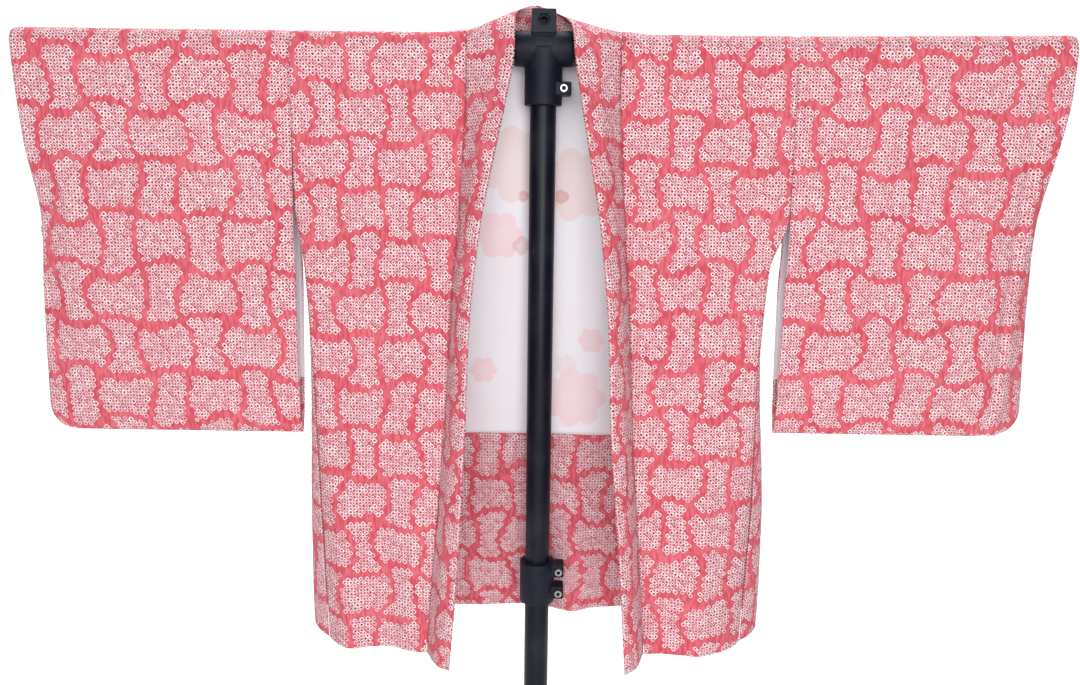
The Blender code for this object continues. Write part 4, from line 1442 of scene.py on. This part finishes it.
# %% Thread and the stitched seams
def thread_material():
    made, tree, shader = new_material("silk_thread")
    fibre = noise(tree, tree.nodes.new("ShaderNodeTexCoord").outputs["Object"], 3000.0)
    colour = mix(tree, fibre, tint(236, 190, 198), tint(250, 226, 230))
    tree.links.new(colour, shader.inputs["Base Color"])
    shader.inputs["Roughness"].default_value = 0.5
    return made


THREAD = thread_material()


def on_sheet(place, line, lift):
    """Points on a sheet's outer side along a line of its flat coordinates."""
    u, v = (np.array(values, dtype=float) for values in zip(*line))
    side = place(u + TINY, v) - place(u - TINY, v)
    normal = np.cross(side, place(u, v + TINY) - place(u, v - TINY))
    normal /= np.linalg.norm(normal, axis=-1, keepdims=True)
    return place(u, v) + normal * lift


def stitched(name, points, **sizes):
    edges = [(k, k + 1) for k in range(len(points) - 1)]
    return grown(name, points, edges, STITCHES, {"Material": THREAD, **sizes})


ABOVE_EDGE, THREAD_LIFT = 0.0022, 0.0017
seam_line = [(x, facing_height + ABOVE_EDGE) for x in np.linspace(-0.276, 0.270, 90)]
stitches = {"lining_seam": stitched("stitches_lining_seam", on_sheet(
    back_place(0.0), seam_line, THREAD_LIFT + LINING))}

# %% [markdown]
# ## Which piece stands for which
# Every piece rides on the one body there is, and the pieces above take the place of the
# plain solids.

# %% Ride and replace
for pieces in (cloth, lining, metal):
    for node, piece in pieces.items():
        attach(piece, "root")
        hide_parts(node)
for node in ("tee_bolt", "coupling_bolt_upper", "coupling_bolt_lower"):
    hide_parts(node)
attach(bolts, "root")
for piece in stitches.values():
    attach(piece, "root")
print(len(cloth) + len(lining) + len(metal) + len(stitches) + 1, "pieces ride on the root")

# %% [markdown]
# ## Studio
# A pale sweep of paper runs from under the stand up behind it, so no edge shows. Large soft
# lights from the front and a bright, even surrounding keep the shadows weak.

# %% Floor and backdrop
WALL_Y, BEND, PAPER_HALF = 3.0, 1.4, 7.0


def paper_sweep():
    bend = [(WALL_Y - BEND + BEND * math.sin(t), BEND - BEND * math.cos(t))
            for t in np.linspace(0, math.pi / 2, 24)]
    profile = [(-6.0, 0.0), *bend, (WALL_Y, 7.0)]
    shape = bmesh.new()
    rows = [[shape.verts.new((x, y, z)) for x in (-PAPER_HALF, PAPER_HALF)] for y, z in profile]
    for near, far in zip(rows, rows[1:]):
        shape.faces.new((near[0], near[1], far[1], far[0]))
    mesh = mesh_from("paper_sweep", shape)
    mesh.shade_smooth()
    paper, _, shader = new_material("paper")
    set_inputs(shader, {"Base Color": (0.93, 0.93, 0.93, 1), "Roughness": 0.9,
                        "Specular IOR Level": 0.1})
    mesh.materials.append(paper)
    return placed("paper_sweep", mesh)


paper_sweep()
print("paper bends up", WALL_Y - BEND, "m behind the stand")


# %% Lights
def soft_light(name, where, aim, size, power):
    data = bpy.data.lights.new(name, "AREA")
    data.shape, data.size, data.size_y = "RECTANGLE", *size
    data.energy = power
    made = placed(name, data)
    made.location = where
    made.rotation_euler = (Vector(aim) - Vector(where)).to_track_quat("-Z", "Y").to_euler()
    print(name, "light,", power, "W")


soft_light("key", (-1.2, -2.8, 2.4), (0, 0, 1.0), (1.8, 1.8), 22)
soft_light("front", (0.3, -2.5, 1.35), (0, 0, 1.0), (1.5, 1.5), 40)
soft_light("back_paper", (0, 0.9, 3.2), (0, 2.6, 1.2), (3.0, 1.0), 130)
world = bpy.data.worlds.new("studio")
world.use_nodes = True
set_inputs(world.node_tree.nodes["Background"], {"Color": (1, 1, 1, 1), "Strength": 0.30})
bpy.context.scene.world = world
bpy.context.scene.view_settings.view_transform = "Standard"

# %% [markdown]
# ## Camera
# The camera stands a little over a metre away, slightly below the bar, and looks down at the
# jacket, so that the collar's hanging edges open towards it.

# %% Place the camera
DISTANCE, BELOW_BAR = 1.16, 0.145
PITCH, YAW, ROLL = (math.radians(a) for a in (10.6, 0.45, 0.75))
lens = bpy.data.cameras.new("camera")
lens.lens, lens.sensor_width, lens.shift_y = 31.0, 36.0, 0.0035
camera = placed("camera", lens)
stands_at = (math.sin(YAW) * DISTANCE, -math.cos(YAW) * DISTANCE, BAR_Z - BELOW_BAR)
camera.matrix_world = (Matrix.Translation(stands_at) @ Matrix.Rotation(YAW, 4, "Z")
                       @ Matrix.Rotation(math.pi / 2 - PITCH, 4, "X")
                       @ Matrix.Rotation(ROLL, 4, "Z"))
bpy.context.scene.camera = camera
print("camera at", [round(c, 3) for c in stands_at])
